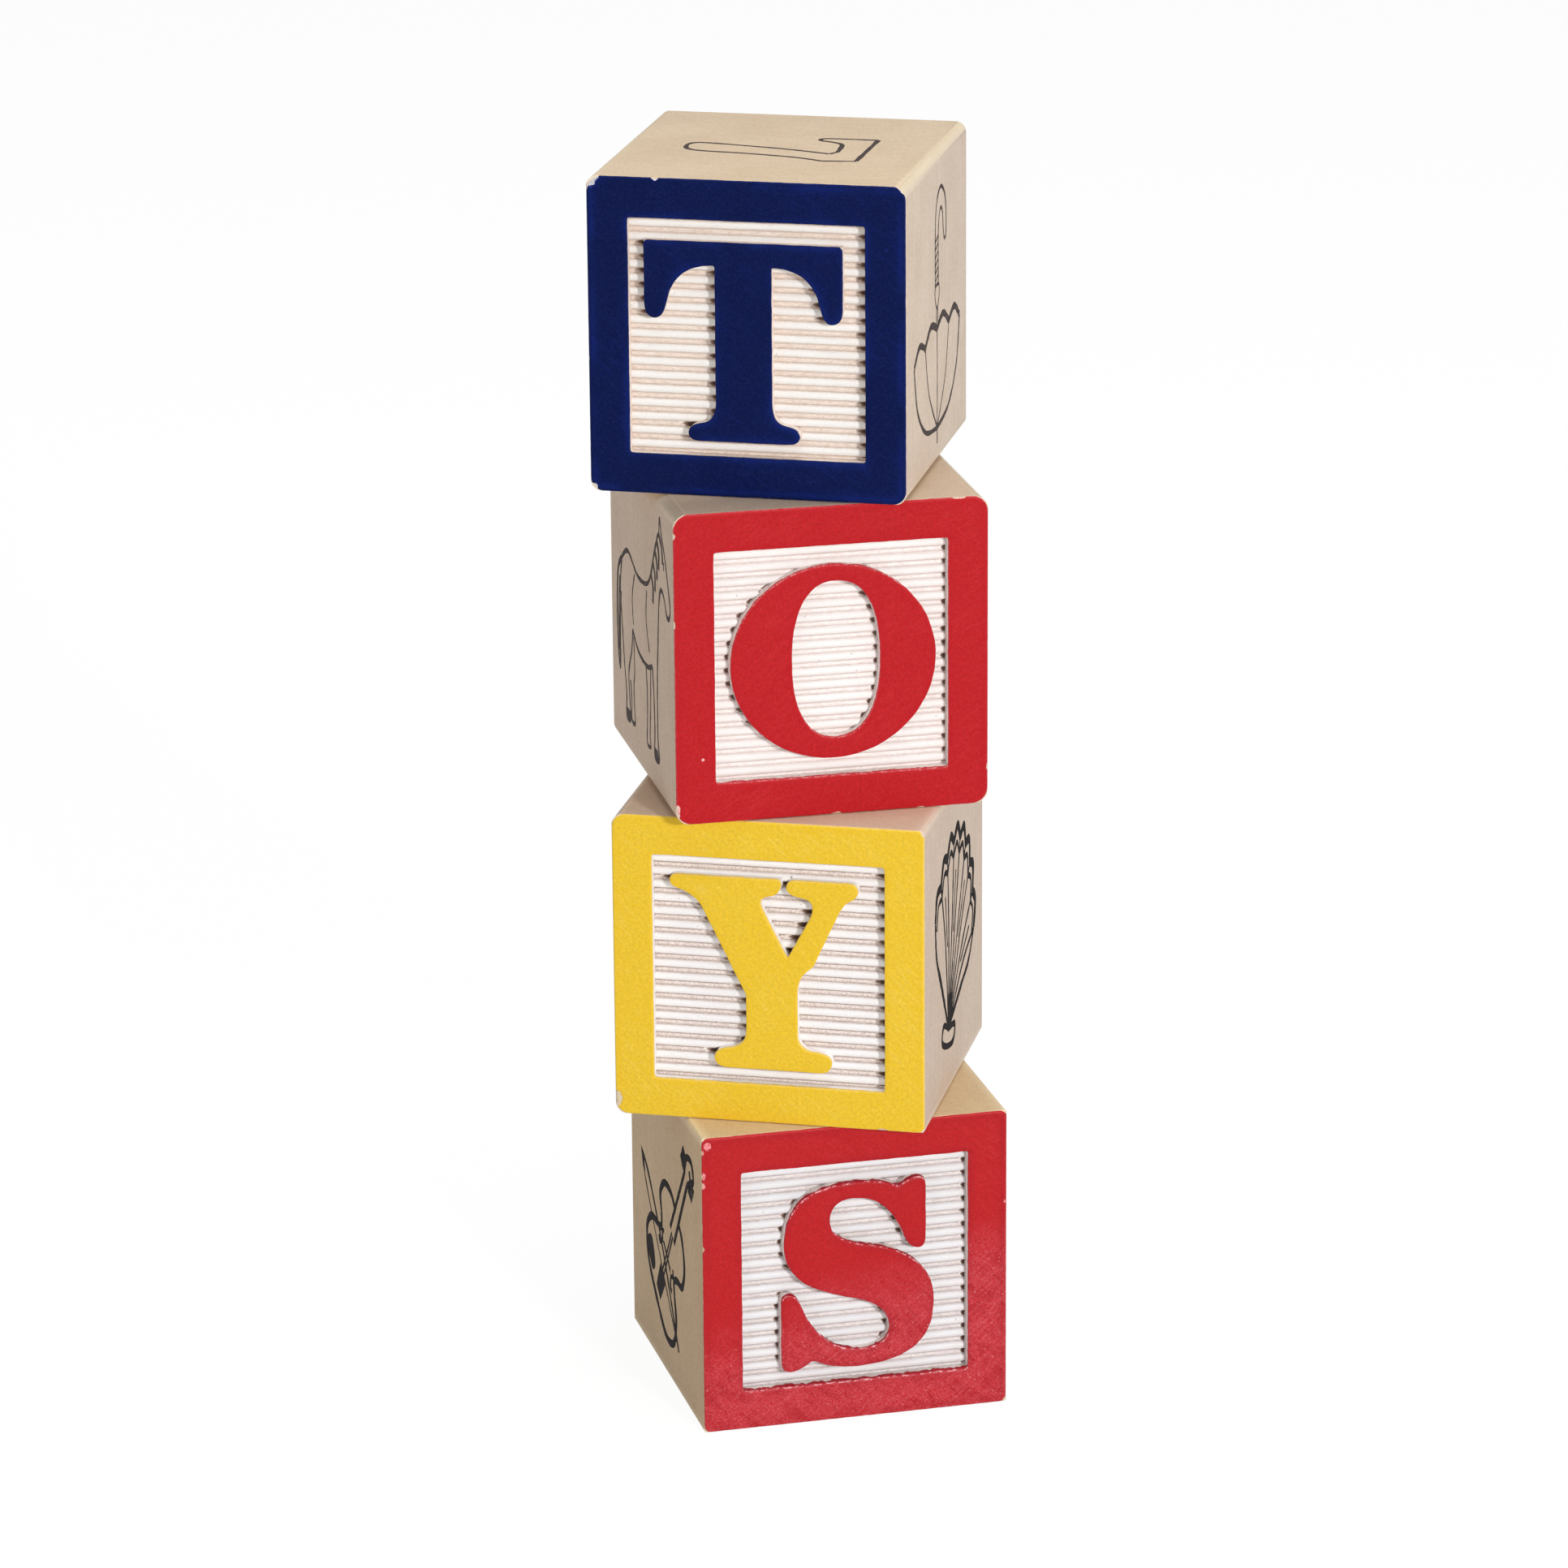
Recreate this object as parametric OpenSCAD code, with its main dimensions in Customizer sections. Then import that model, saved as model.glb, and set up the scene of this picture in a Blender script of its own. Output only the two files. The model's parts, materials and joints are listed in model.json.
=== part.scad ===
// A stack of four wooden alphabet blocks.
// Each block is one cube of solid wood. Its front and back are pressed: a raised letter stands
// inside a raised frame, on a sunk ground of half-round ribs. Enamel lies on the letter and the
// frame, and a thin white coat on the crests of the ribs. The other four sides are bare wood.
// The blocks stand on each other loose, each one turned a little from the one below.

/* [Block] */
// Side of each cube, over its enamel
block_side = 30; // [26:0.5:45]
// Rounding of the edges that lie in the lettered faces and across the block
ease_r = 0.25; // [0.1:0.05:0.4]
// Rounding of the T block's four edges from front to back
t_edge_r = 1.2; // [0.6:0.05:2]
// Rounding of the O block's four edges from front to back
o_edge_r = 1.5; // [0.6:0.05:2]
// Rounding of the Y block's two left edges from front to back
y_left_edge_r = 1.3; // [0.4:0.05:2]
// Rounding of the Y block's two right edges, which the sander barely touched
y_right_edge_r = 0.5; // [0.4:0.05:2]
// Rounding of the S block's four edges from front to back
s_edge_r = 0.4; // [0.4:0.05:2]

/* [Lettered face] */
// Width of the raised frame
frame_w = 3.8; // [2.6:0.1:4.6]
// Depth of the sunk ground, from the painted face to the valleys between the ribs
ground_depth = 1.6; // [1:0.1:2.4]
// Distance from one rib to the next
rib_pitch = 1.31; // [1.1:0.01:2]
// Width of each rib where it stands on the ground
rib_w = 0.86; // [0.5:0.02:0.94]

/* [Paint] */
// Thickness of the enamel on the frame and the letter
enamel_t = 0.1; // [0.06:0.01:0.2]
// Thickness of the white coat on the ribs
white_t = 0.06; // [0.04:0.01:0.08]
// Height of the bare foot of each rib, below the white coat
bare_foot_h = 0.14; // [0.05:0.01:0.2]

/* [Stack] */
// Angle that the T block is turned by, about the vertical, in degrees
t_turn_angle = -12.3; // [-45:0.1:45]
// How far the T block sits to the right of the stack's centre line
t_right = -2.8; // [-6:0.1:6]
// How far the T block sits behind the stack's centre line
t_behind = 5.2; // [-6:0.1:6]
// Angle that the O block is turned by, in degrees
o_turn_angle = 12.5; // [-45:0.1:45]
// How far the O block sits to the right
o_right = -1.5; // [-6:0.1:6]
// How far the O block sits behind
o_behind = 2.6; // [-6:0.1:6]
// Angle that the Y block is turned by, in degrees
y_turn_angle = -12.2; // [-45:0.1:45]
// How far the Y block sits to the right
y_right = -1.3; // [-6:0.1:6]
// How far the Y block sits behind
y_behind = 0.5; // [-6:0.1:6]
// Angle that the S block, at the foot of the stack, is turned by, in degrees
s_turn_angle = 14.1; // [-45:0.1:45]

/* [Hidden] */
// Points on each full circle, and lines in each bend of a letter
$fn = 48;
bend_steps = 6;
oval_steps = 60;
// How far a cutting shape runs past what it cuts
overrun = 1;
// Side of the square ground inside the frame
ground_side = block_side - 2 * frame_w;
// Side of the flat land of a lettered face, inside its eased edges
land_side = block_side - 2 * ease_r;
// Ribs that fit on the ground, and the height of the lowest one's centre line
rib_count = floor(ground_side / rib_pitch);
first_rib_z = (block_side - (rib_count - 1) * rib_pitch) / 2;
rib_r = rib_w / 2;
// Distance from the block's centre to the painted face, the wood below it and the ground
painted_y = block_side / 2;
wood_y = painted_y - enamel_t;
ground_y = painted_y - ground_depth;

// The outline of a letter is a list of [across, up, bend]. Across and up are shares of the
// ground's side, counted from its lower left corner. Where bend is 0 the line passes through
// the point, and where it is 1 the line bends towards the point, as a quadratic curve does.
THROUGH = 0;
BEND = 1;

// Right half of the T, with its stem's centre line at zero across
t_half_shares = [
    [0.415, 0.905, THROUGH],
    [0.415, 0.635, THROUGH], [0.415, 0.580, BEND], [0.370, 0.580, THROUGH],
    [0.338, 0.580, BEND], [0.325, 0.650, THROUGH],
    [0.295, 0.812, BEND], [0.117, 0.812, THROUGH],
    [0.117, 0.225, THROUGH], [0.117, 0.145, BEND], [0.180, 0.140, THROUGH],
    [0.236, 0.132, BEND], [0.236, 0.102, THROUGH],
    [0.236, 0.068, BEND], [0.195, 0.068, THROUGH]
];
t_stem_share = 0.487;

// The O is a round outer line and a narrower, squarer eye
o_outer_centre_shares = [0.506, 0.497];
o_outer_half_shares = [0.436, 0.416];
o_outer_power = 2;
o_eye_centre_shares = [0.518, 0.506];
o_eye_half_shares = [0.190, 0.341];
o_eye_power = 2.35;

y_shares = [
    [0.105, 0.915, THROUGH], [0.555, 0.915, THROUGH],
    [0.562, 0.862, BEND], [0.520, 0.845, THROUGH],
    [0.448, 0.842, BEND], [0.470, 0.790, THROUGH],
    [0.582, 0.565, THROUGH], [0.688, 0.765, THROUGH],
    [0.712, 0.842, BEND], [0.640, 0.845, THROUGH],
    [0.578, 0.852, BEND], [0.580, 0.885, THROUGH], [0.582, 0.915, BEND],
    [0.610, 0.915, THROUGH], [0.850, 0.915, THROUGH],
    [0.885, 0.915, BEND], [0.885, 0.885, THROUGH], [0.885, 0.850, BEND],
    [0.845, 0.840, THROUGH], [0.822, 0.825, BEND], [0.800, 0.780, THROUGH],
    [0.690, 0.540, THROUGH], [0.622, 0.500, BEND], [0.622, 0.420, THROUGH],
    [0.622, 0.230, THROUGH], [0.622, 0.175, BEND], [0.680, 0.160, THROUGH],
    [0.770, 0.155, BEND], [0.770, 0.120, THROUGH], [0.770, 0.072, BEND],
    [0.725, 0.072, THROUGH], [0.318, 0.072, THROUGH],
    [0.265, 0.072, BEND], [0.265, 0.115, THROUGH], [0.265, 0.152, BEND],
    [0.335, 0.158, THROUGH], [0.405, 0.172, BEND], [0.405, 0.240, THROUGH],
    [0.405, 0.400, THROUGH], [0.228, 0.760, THROUGH],
    [0.200, 0.835, BEND], [0.110, 0.858, THROUGH],
    [0.080, 0.865, BEND], [0.080, 0.890, THROUGH], [0.080, 0.915, BEND]
];

s_shares = [
    [0.695, 0.868, THROUGH],
    [0.730, 0.903, BEND], [0.782, 0.903, THROUGH], [0.808, 0.903, BEND],
    [0.808, 0.860, THROUGH], [0.808, 0.620, THROUGH],
    [0.808, 0.583, BEND], [0.778, 0.583, THROUGH], [0.748, 0.583, BEND],
    [0.725, 0.625, THROUGH], [0.650, 0.838, BEND], [0.500, 0.838, THROUGH],
    [0.385, 0.838, BEND], [0.385, 0.740, THROUGH], [0.385, 0.655, BEND],
    [0.530, 0.620, THROUGH], [0.660, 0.600, BEND], [0.740, 0.540, THROUGH],
    [0.845, 0.470, BEND], [0.845, 0.330, THROUGH], [0.845, 0.068, BEND],
    [0.510, 0.068, THROUGH], [0.400, 0.068, BEND], [0.310, 0.115, THROUGH],
    [0.255, 0.072, BEND], [0.210, 0.072, THROUGH], [0.175, 0.072, BEND],
    [0.175, 0.110, THROUGH], [0.175, 0.380, THROUGH],
    [0.175, 0.418, BEND], [0.205, 0.418, THROUGH], [0.240, 0.418, BEND],
    [0.255, 0.370, THROUGH], [0.345, 0.142, BEND], [0.520, 0.142, THROUGH],
    [0.652, 0.142, BEND], [0.652, 0.235, THROUGH], [0.652, 0.335, BEND],
    [0.500, 0.380, THROUGH], [0.330, 0.425, BEND], [0.270, 0.475, THROUGH],
    [0.188, 0.545, BEND], [0.188, 0.645, THROUGH], [0.188, 0.905, BEND],
    [0.500, 0.905, THROUGH], [0.610, 0.905, BEND], [0.650, 0.885, THROUGH]
];

// Each block is [letter, level in the stack, angle, right, behind, left edges' rounding, right
// edges' rounding, colour]
S_BLOCK = ["S", 0, s_turn_angle, 0, 0, s_edge_r, s_edge_r, "firebrick"];
Y_BLOCK = ["Y", 1, y_turn_angle, y_right, y_behind, y_left_edge_r, y_right_edge_r, "gold"];
O_BLOCK = ["O", 2, o_turn_angle, o_right, o_behind, o_edge_r, o_edge_r, "crimson"];
T_BLOCK = ["T", 3, t_turn_angle, t_right, t_behind, t_edge_r, t_edge_r, "midnightblue"];
FRONT = 0;
BACK = 180;

function letter(block) = block[0];
function level(block) = block[1];
function turn_angle(block) = block[2];
function right(block) = block[3];
function behind(block) = block[4];
function left_edge_r(block) = block[5];
function right_edge_r(block) = block[6];
function paint(block) = block[7];

// Neighbour of point i of a closed outline, and where a bend at point i starts or ends there:
// at the neighbour itself, or half way to a neighbour that is a bend too
function neighbour(shape, i, way) = shape[(i + way + len(shape)) % len(shape)];
function place_of(point) = [point[0], point[1]];
function bend_end(shape, i, way) =
    let(next = neighbour(shape, i, way), here = place_of(shape[i]))
    next[2] == THROUGH ? place_of(next) : (place_of(next) + here) / 2;

// Point at share t of a quadratic curve from a to b that bends towards c
function curve_point(a, c, b, t) = (1 - t) * (1 - t) * a + 2 * t * (1 - t) * c + t * t * b;

// Corner points of a letter's outline, with its bends drawn as short lines. A bend starts on the
// point before it, so a point that a bend follows isn't listed again.
function outline(shape) = [
    for (i = [0 : len(shape) - 1])
        each shape[i][2] == BEND ? [
            for (step = [0 : bend_steps - 1])
                curve_point(bend_end(shape, i, -1), place_of(shape[i]),
                            bend_end(shape, i, 1), step / bend_steps)
        ] : neighbour(shape, i, 1)[2] == THROUGH ? [place_of(shape[i])] : []
];

// A half outline and its mirror image, either side of the line at share middle
function mirrored(half, middle) = concat(
    [for (point = half) [middle + point[0], point[1], point[2]]],
    [for (i = [len(half) - 1 : -1 : 0]) [middle - half[i][0], half[i][1], half[i][2]]]
);

// An oval that is an ellipse at power 2, and squarer above it
function oval(centre, half, power) = [
    for (i = [0 : oval_steps - 1])
        let(angle = 360 * i / oval_steps, c = cos(angle), s = sin(angle))
        [centre[0] + half[0] * sign(c) * pow(abs(c), 2 / power),
         centre[1] + half[1] * sign(s) * pow(abs(s), 2 / power)]
];

// A letter, drawn flat in the place that it has on the ground
module letter_shape(name) {
    translate([-ground_side / 2, frame_w])
        scale(ground_side) {
            if (name == "T") polygon(outline(mirrored(t_half_shares, t_stem_share)));
            if (name == "Y") polygon(outline(y_shares));
            if (name == "S") polygon(outline(s_shares));
            if (name == "O") difference() {
                polygon(oval(o_outer_centre_shares, o_outer_half_shares, o_outer_power));
                polygon(oval(o_eye_centre_shares, o_eye_half_shares, o_eye_power));
            }
        }
}

// A rectangle that stands on the x axis, drawn flat, with its own rounding at the left and right
module rounded_rectangle(width, height, left_r, right_r) {
    translate([-width / 2 + left_r, 0])
        square([width - left_r - right_r, height]);
    translate([-width / 2, left_r])
        square([width / 2, height - 2 * left_r]);
    translate([0, right_r])
        square([width / 2, height - 2 * right_r]);
    for (y = [left_r, height - left_r])
        translate([-width / 2 + left_r, y])
            circle(left_r);
    for (y = [right_r, height - right_r])
        translate([width / 2 - right_r, y])
            circle(right_r);
}

// The square ground, drawn flat
module ground_shape() {
    translate([-ground_side / 2, frame_w])
        square(ground_side);
}

// A flat shape stood up to face the front, from depth y_back to depth y_front
module standing(y_back, y_front) {
    translate([0, -y_back, 0])
        rotate([90, 0, 0])
            linear_extrude(y_front - y_back)
                children();
}

// A block's place in the stack, and one of its two lettered faces
module in_stack(block) {
    translate([right(block), behind(block), level(block) * block_side])
        rotate([0, 0, turn_angle(block)])
            children();
}

module on_face(side) {
    rotate([0, 0, side])
        children();
}

// The flat outline of the cube, seen from the side and from above, inside its enamel
module plan_shape() {
    translate([0, -wood_y])
        rounded_rectangle(block_side, 2 * wood_y, ease_r, ease_r);
}

// The cube's form before its faces are pressed, rounded in each of its three directions
module sanded_cube(block) {
    intersection() {
        standing(-wood_y, wood_y)
            rounded_rectangle(block_side, block_side, left_edge_r(block), right_edge_r(block));
        linear_extrude(block_side)
            plan_shape();
        translate([-block_side / 2, 0, block_side / 2])
            rotate([0, 90, 0])
                linear_extrude(block_side)
                    plan_shape();
    }
}

// Half-round ribs across the ground, grown by grow for the coat that lies on them
module ribs(length, grow = 0) {
    for (i = [0 : rib_count - 1])
        translate([0, -ground_y, first_rib_z + i * rib_pitch])
            rotate([0, 90, 0])
                cylinder(h = length, r = rib_r + grow, center = true);
}

// What the press pushes in on one face: all of the ground but the letter and the ribs
module pressed_in(block) {
    difference() {
        standing(ground_y, painted_y + overrun)
            ground_shape();
        standing(ground_y - overrun, painted_y + 2 * overrun)
            letter_shape(letter(block));
        ribs(ground_side + 2 * overrun);
    }
}

module wooden_cube(block) {
    color("burlywood")
        in_stack(block)
            difference() {
                sanded_cube(block);
                on_face(FRONT) pressed_in(block);
                on_face(BACK) pressed_in(block);
            }
}

// The frame's outline follows the block's edges. Seen from behind, left and right change places.
module frame_enamel(block, side) {
    left_r = (side == FRONT ? left_edge_r(block) : right_edge_r(block)) - ease_r;
    right_r = (side == FRONT ? right_edge_r(block) : left_edge_r(block)) - ease_r;
    color(paint(block))
        in_stack(block)
            on_face(side)
                standing(wood_y, painted_y)
                    difference() {
                        translate([0, ease_r])
                            rounded_rectangle(land_side, land_side, left_r, right_r);
                        ground_shape();
                    }
}

module letter_enamel(block, side) {
    color(paint(block))
        in_stack(block)
            on_face(side)
                standing(wood_y, painted_y)
                    letter_shape(letter(block));
}

// The white coat covers each rib from its bare foot up, between the frame and the letter
module rib_white(block, side) {
    color("white")
        in_stack(block)
            on_face(side)
                difference() {
                    intersection() {
                        ribs(ground_side, white_t);
                        standing(ground_y + bare_foot_h, painted_y)
                            ground_shape();
                    }
                    ribs(ground_side + 2 * overrun);
                    standing(ground_y - overrun, painted_y + overrun)
                        letter_shape(letter(block));
                }
}

module s_cube() wooden_cube(S_BLOCK);
module s_front_frame_enamel() frame_enamel(S_BLOCK, FRONT);
module s_front_letter_enamel() letter_enamel(S_BLOCK, FRONT);
module s_front_rib_white() rib_white(S_BLOCK, FRONT);
module s_back_frame_enamel() frame_enamel(S_BLOCK, BACK);
module s_back_letter_enamel() letter_enamel(S_BLOCK, BACK);
module s_back_rib_white() rib_white(S_BLOCK, BACK);

module y_cube() wooden_cube(Y_BLOCK);
module y_front_frame_enamel() frame_enamel(Y_BLOCK, FRONT);
module y_front_letter_enamel() letter_enamel(Y_BLOCK, FRONT);
module y_front_rib_white() rib_white(Y_BLOCK, FRONT);
module y_back_frame_enamel() frame_enamel(Y_BLOCK, BACK);
module y_back_letter_enamel() letter_enamel(Y_BLOCK, BACK);
module y_back_rib_white() rib_white(Y_BLOCK, BACK);

module o_cube() wooden_cube(O_BLOCK);
module o_front_frame_enamel() frame_enamel(O_BLOCK, FRONT);
module o_front_letter_enamel() letter_enamel(O_BLOCK, FRONT);
module o_front_rib_white() rib_white(O_BLOCK, FRONT);
module o_back_frame_enamel() frame_enamel(O_BLOCK, BACK);
module o_back_letter_enamel() letter_enamel(O_BLOCK, BACK);
module o_back_rib_white() rib_white(O_BLOCK, BACK);

module t_cube() wooden_cube(T_BLOCK);
module t_front_frame_enamel() frame_enamel(T_BLOCK, FRONT);
module t_front_letter_enamel() letter_enamel(T_BLOCK, FRONT);
module t_front_rib_white() rib_white(T_BLOCK, FRONT);
module t_back_frame_enamel() frame_enamel(T_BLOCK, BACK);
module t_back_letter_enamel() letter_enamel(T_BLOCK, BACK);
module t_back_rib_white() rib_white(T_BLOCK, BACK);

s_cube();
s_front_frame_enamel();
s_front_letter_enamel();
s_front_rib_white();
s_back_frame_enamel();
s_back_letter_enamel();
s_back_rib_white();

y_cube();
y_front_frame_enamel();
y_front_letter_enamel();
y_front_rib_white();
y_back_frame_enamel();
y_back_letter_enamel();
y_back_rib_white();

o_cube();
o_front_frame_enamel();
o_front_letter_enamel();
o_front_rib_white();
o_back_frame_enamel();
o_back_letter_enamel();
o_back_rib_white();

t_cube();
t_front_frame_enamel();
t_front_letter_enamel();
t_front_rib_white();
t_back_frame_enamel();
t_back_letter_enamel();
t_back_rib_white();
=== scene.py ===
# %% [markdown]
# # Four painted alphabet blocks, stacked
#
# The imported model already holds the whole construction: four cubes of solid wood, each with a letter
# pressed into its front and back, and the coats of paint on them. This lesson dresses that model.
# It gives the paint its rolled edges and chips, the ribs their hand-rolled white, and the bare sides
# their line drawings, and it keeps every piece in the place that the model gives it.

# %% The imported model
import json
import math
from contextlib import contextmanager
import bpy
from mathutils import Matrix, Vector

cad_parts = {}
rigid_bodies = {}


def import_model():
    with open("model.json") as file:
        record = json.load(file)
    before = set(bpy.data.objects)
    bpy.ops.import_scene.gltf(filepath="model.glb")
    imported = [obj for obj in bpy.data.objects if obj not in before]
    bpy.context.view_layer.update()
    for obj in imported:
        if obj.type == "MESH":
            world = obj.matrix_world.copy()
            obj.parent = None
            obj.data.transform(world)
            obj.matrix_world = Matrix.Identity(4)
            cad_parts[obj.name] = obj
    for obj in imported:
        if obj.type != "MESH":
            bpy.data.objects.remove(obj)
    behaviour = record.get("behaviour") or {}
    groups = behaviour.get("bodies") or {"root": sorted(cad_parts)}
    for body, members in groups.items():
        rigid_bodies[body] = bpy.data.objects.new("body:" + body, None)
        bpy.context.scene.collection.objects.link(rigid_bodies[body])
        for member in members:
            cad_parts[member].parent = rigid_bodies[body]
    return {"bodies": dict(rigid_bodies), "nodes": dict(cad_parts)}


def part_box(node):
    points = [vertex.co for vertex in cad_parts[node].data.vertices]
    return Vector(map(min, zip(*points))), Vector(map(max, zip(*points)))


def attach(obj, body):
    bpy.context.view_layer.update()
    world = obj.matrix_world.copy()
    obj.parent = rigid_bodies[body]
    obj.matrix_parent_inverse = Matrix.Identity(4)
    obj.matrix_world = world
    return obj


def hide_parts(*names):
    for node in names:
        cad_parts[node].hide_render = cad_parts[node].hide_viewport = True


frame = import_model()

from types import SimpleNamespace

import bmesh
import bpy
import numpy as np
from mathutils import Matrix, Vector, geometry, noise

ours = set(frame["nodes"].values()) | set(frame["bodies"].values())
for thing in list(bpy.data.objects):
    if thing not in ours:
        bpy.data.objects.remove(thing)
bpy.context.view_layer.update()

# %% [markdown]
# Five short helpers do what nearly every piece needs: put an object into the scene, make a mesh of
# corners and faces, open a mesh to change it, read its corners, and write a value for each of them.

# %% Helpers for objects and meshes
def put(name, data):
    thing = bpy.data.objects.new(name, data)
    bpy.context.scene.collection.objects.link(thing)
    return thing


def mesh_of(name, corners, faces):
    mesh = bpy.data.meshes.new(name)
    mesh.from_pydata(corners, [], faces)
    return mesh


@contextmanager
def opened(mesh):
    """A mesh's corners and faces, which are written back at the end."""
    solid = bmesh.new()
    solid.from_mesh(mesh)
    yield solid
    solid.to_mesh(mesh)
    solid.free()


def corners_of(mesh):
    flat = np.empty(len(mesh.vertices) * 3)
    mesh.vertices.foreach_get("co", flat)
    return flat.reshape(-1, 3)


def mark(mesh, name, values):
    """Writes a value for each corner, which a material can read by its name."""
    mesh.attributes.new(name, "FLOAT", "POINT").data.foreach_set("value", np.asarray(values, np.float32))


# %% [markdown]
# ## Where each block stands
#
# The blocks are stacked by hand, so each one is turned a little. A pattern or a drawing has to turn
# with its block. The turn could be typed in again, but then it could disagree with the model. It is
# read from the model instead: the enamel on a front is a thin flat sheet, so the direction in which
# its points spread most, seen from above, is the block's own left-to-right line.

# %% Block places, read from the model
MM = 0.001
SIDES = {"front": 0, "back": 180}


class Block:
    def __init__(self, key, seed):
        self.key = key
        self.body = f"block_{key}"
        self.seed = seed
        low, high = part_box(f"{key}_cube")
        self.side = high[2] - low[2]
        self.middle = Vector(((low[0] + high[0]) / 2, (low[1] + high[1]) / 2, low[2]))
        from_above = corners_of(frame["nodes"][f"{key}_front_frame_enamel"].data)[:, :2]
        spread = np.linalg.svd(from_above - from_above.mean(axis=0), full_matrices=False)[2][0]
        self.turn = math.atan(spread[1] / spread[0])
        self.place = Matrix.Translation(self.middle) @ Matrix.Rotation(self.turn, 4, "Z")

    def face(self, side):
        """Millimetres on a lettered face: x across, z up, and -y towards the reader."""
        about = Matrix.Rotation(math.radians(SIDES[side]), 4, "Z")
        return self.place @ about @ Matrix.Scale(MM, 4)


blocks = {key: Block(key, seed) for seed, key in enumerate("syot")}
for block in blocks.values():
    at = [round(v / MM, 2) for v in block.middle]
    print(block.key, "turned", round(math.degrees(block.turn), 1), "at", at)

# %% [markdown]
# ## Camera
#
# The photograph was taken with a long lens from a little above the stack, so the sides converge only
# slightly. The camera comes first, because every later choice is judged through it. Its place was
# fitted to the corners of the blocks. One placed by eye would need each block to be bent to match.

# %% The camera
LENS = 151.08
CAMERA_AT = Vector((-2.83, -599.15, 247.72)) * MM
CAMERA_TILT = math.radians(72.54)
CAMERA_ROLL = -0.0078

eye = bpy.data.cameras.new("eye")
eye.lens = LENS
eye.sensor_width = 36
eye.clip_start = 10 * MM
camera = put("eye", eye)
camera.matrix_world = (Matrix.Translation(CAMERA_AT) @ Matrix.Rotation(CAMERA_TILT, 4, "X")
                       @ Matrix.Rotation(CAMERA_ROLL, 4, "Z"))
bpy.context.scene.camera = camera
bpy.context.scene.view_settings.view_transform = "Standard"
print("camera", [round(v, 4) for v in CAMERA_AT])

# %% [markdown]
# ## Nodes that read like recipes
#
# A material is a small graph. It could be wired node by node, but then a sum of three values fills ten
# lines. Here a wire can be added and multiplied like a number, and each sign adds its node. Colours
# are written as a painter's swatch reads, from 0 to 255, and turned into the linear values that the
# renderer works in.

# %% Wires and graphs
def swatch(red, green, blue):
    def linear(level):
        share = level / 255
        return share / 12.92 if share <= 0.04045 else ((share + 0.055) / 1.055) ** 2.4
    return (linear(red), linear(green), linear(blue), 1.0)


class Wire:
    """What comes out of a node. Arithmetic with it adds the nodes that work it out."""

    def __init__(self, graph, socket):
        self.graph = graph
        self.socket = socket

    def __add__(self, other):
        return self.graph.maths("ADD", self, other)

    def __sub__(self, other):
        return self.graph.maths("SUBTRACT", self, other)

    def __rsub__(self, other):
        return self.graph.maths("SUBTRACT", other, self)

    def __mul__(self, other):
        return self.graph.maths("MULTIPLY", self, other)

    def __truediv__(self, other):
        return self.graph.maths("DIVIDE", self, other)

    def __abs__(self):
        return self.graph.maths("ABSOLUTE", self)


class Graph:
    """A node tree with short calls, for materials, the world and Geometry Nodes alike."""

    def __init__(self, tree):
        self.tree = tree
        self.tree.nodes.clear()

    def node(self, kind, inputs=None, **settings):
        made = self.tree.nodes.new(kind)
        for key, value in settings.items():
            setattr(made, key, value)
        for key, value in (inputs or {}).items():
            if isinstance(value, Wire):
                self.tree.links.new(value.socket, made.inputs[key])
            else:
                made.inputs[key].default_value = value
        return made

    def add(self, kind, inputs=None, out=0, **settings):
        """One wire out of a new node, by its number or its name."""
        return Wire(self, self.node(kind, inputs, **settings).outputs[out])

    def wires(self, kind, inputs=None):
        """All the wires out of a new node, by their names."""
        return {socket.name: Wire(self, socket) for socket in self.node(kind, inputs).outputs}

    def maths(self, operation, first, second=0.0):
        return self.add("ShaderNodeMath", {0: first, 1: second}, operation=operation)

    def vectors(self, operation, first, second=(0, 0, 0), out=0):
        return self.add("ShaderNodeVectorMath", {0: first, 1: second}, out, operation=operation)

    def vector(self, x=0.0, y=0.0, z=0.0):
        return self.add("ShaderNodeCombineXYZ", {0: x, 1: y, 2: z})

    def ramp(self, value, low, high, start=0.0, end=1.0):
        inputs = {"Value": value, "From Min": low, "From Max": high, "To Min": start, "To Max": end}
        return self.add("ShaderNodeMapRange", inputs, interpolation_type="SMOOTHSTEP")


print("a swatch of mid grey is", [round(level, 3) for level in swatch(128, 128, 128)])

# %% [markdown]
# Every finish on these blocks is made of the same few things: two colours mixed by a noise, marks that
# run in one direction, and a border at a known place. They could be written out again in each
# material. As methods they are written once, and they take sizes in millimetres, which can be compared
# with a real block.

# %% Recipes for materials
MIDDLE_UP = 15.0
RIB_PITCH = 1.31
FIRST_RIB = 4.52


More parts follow.
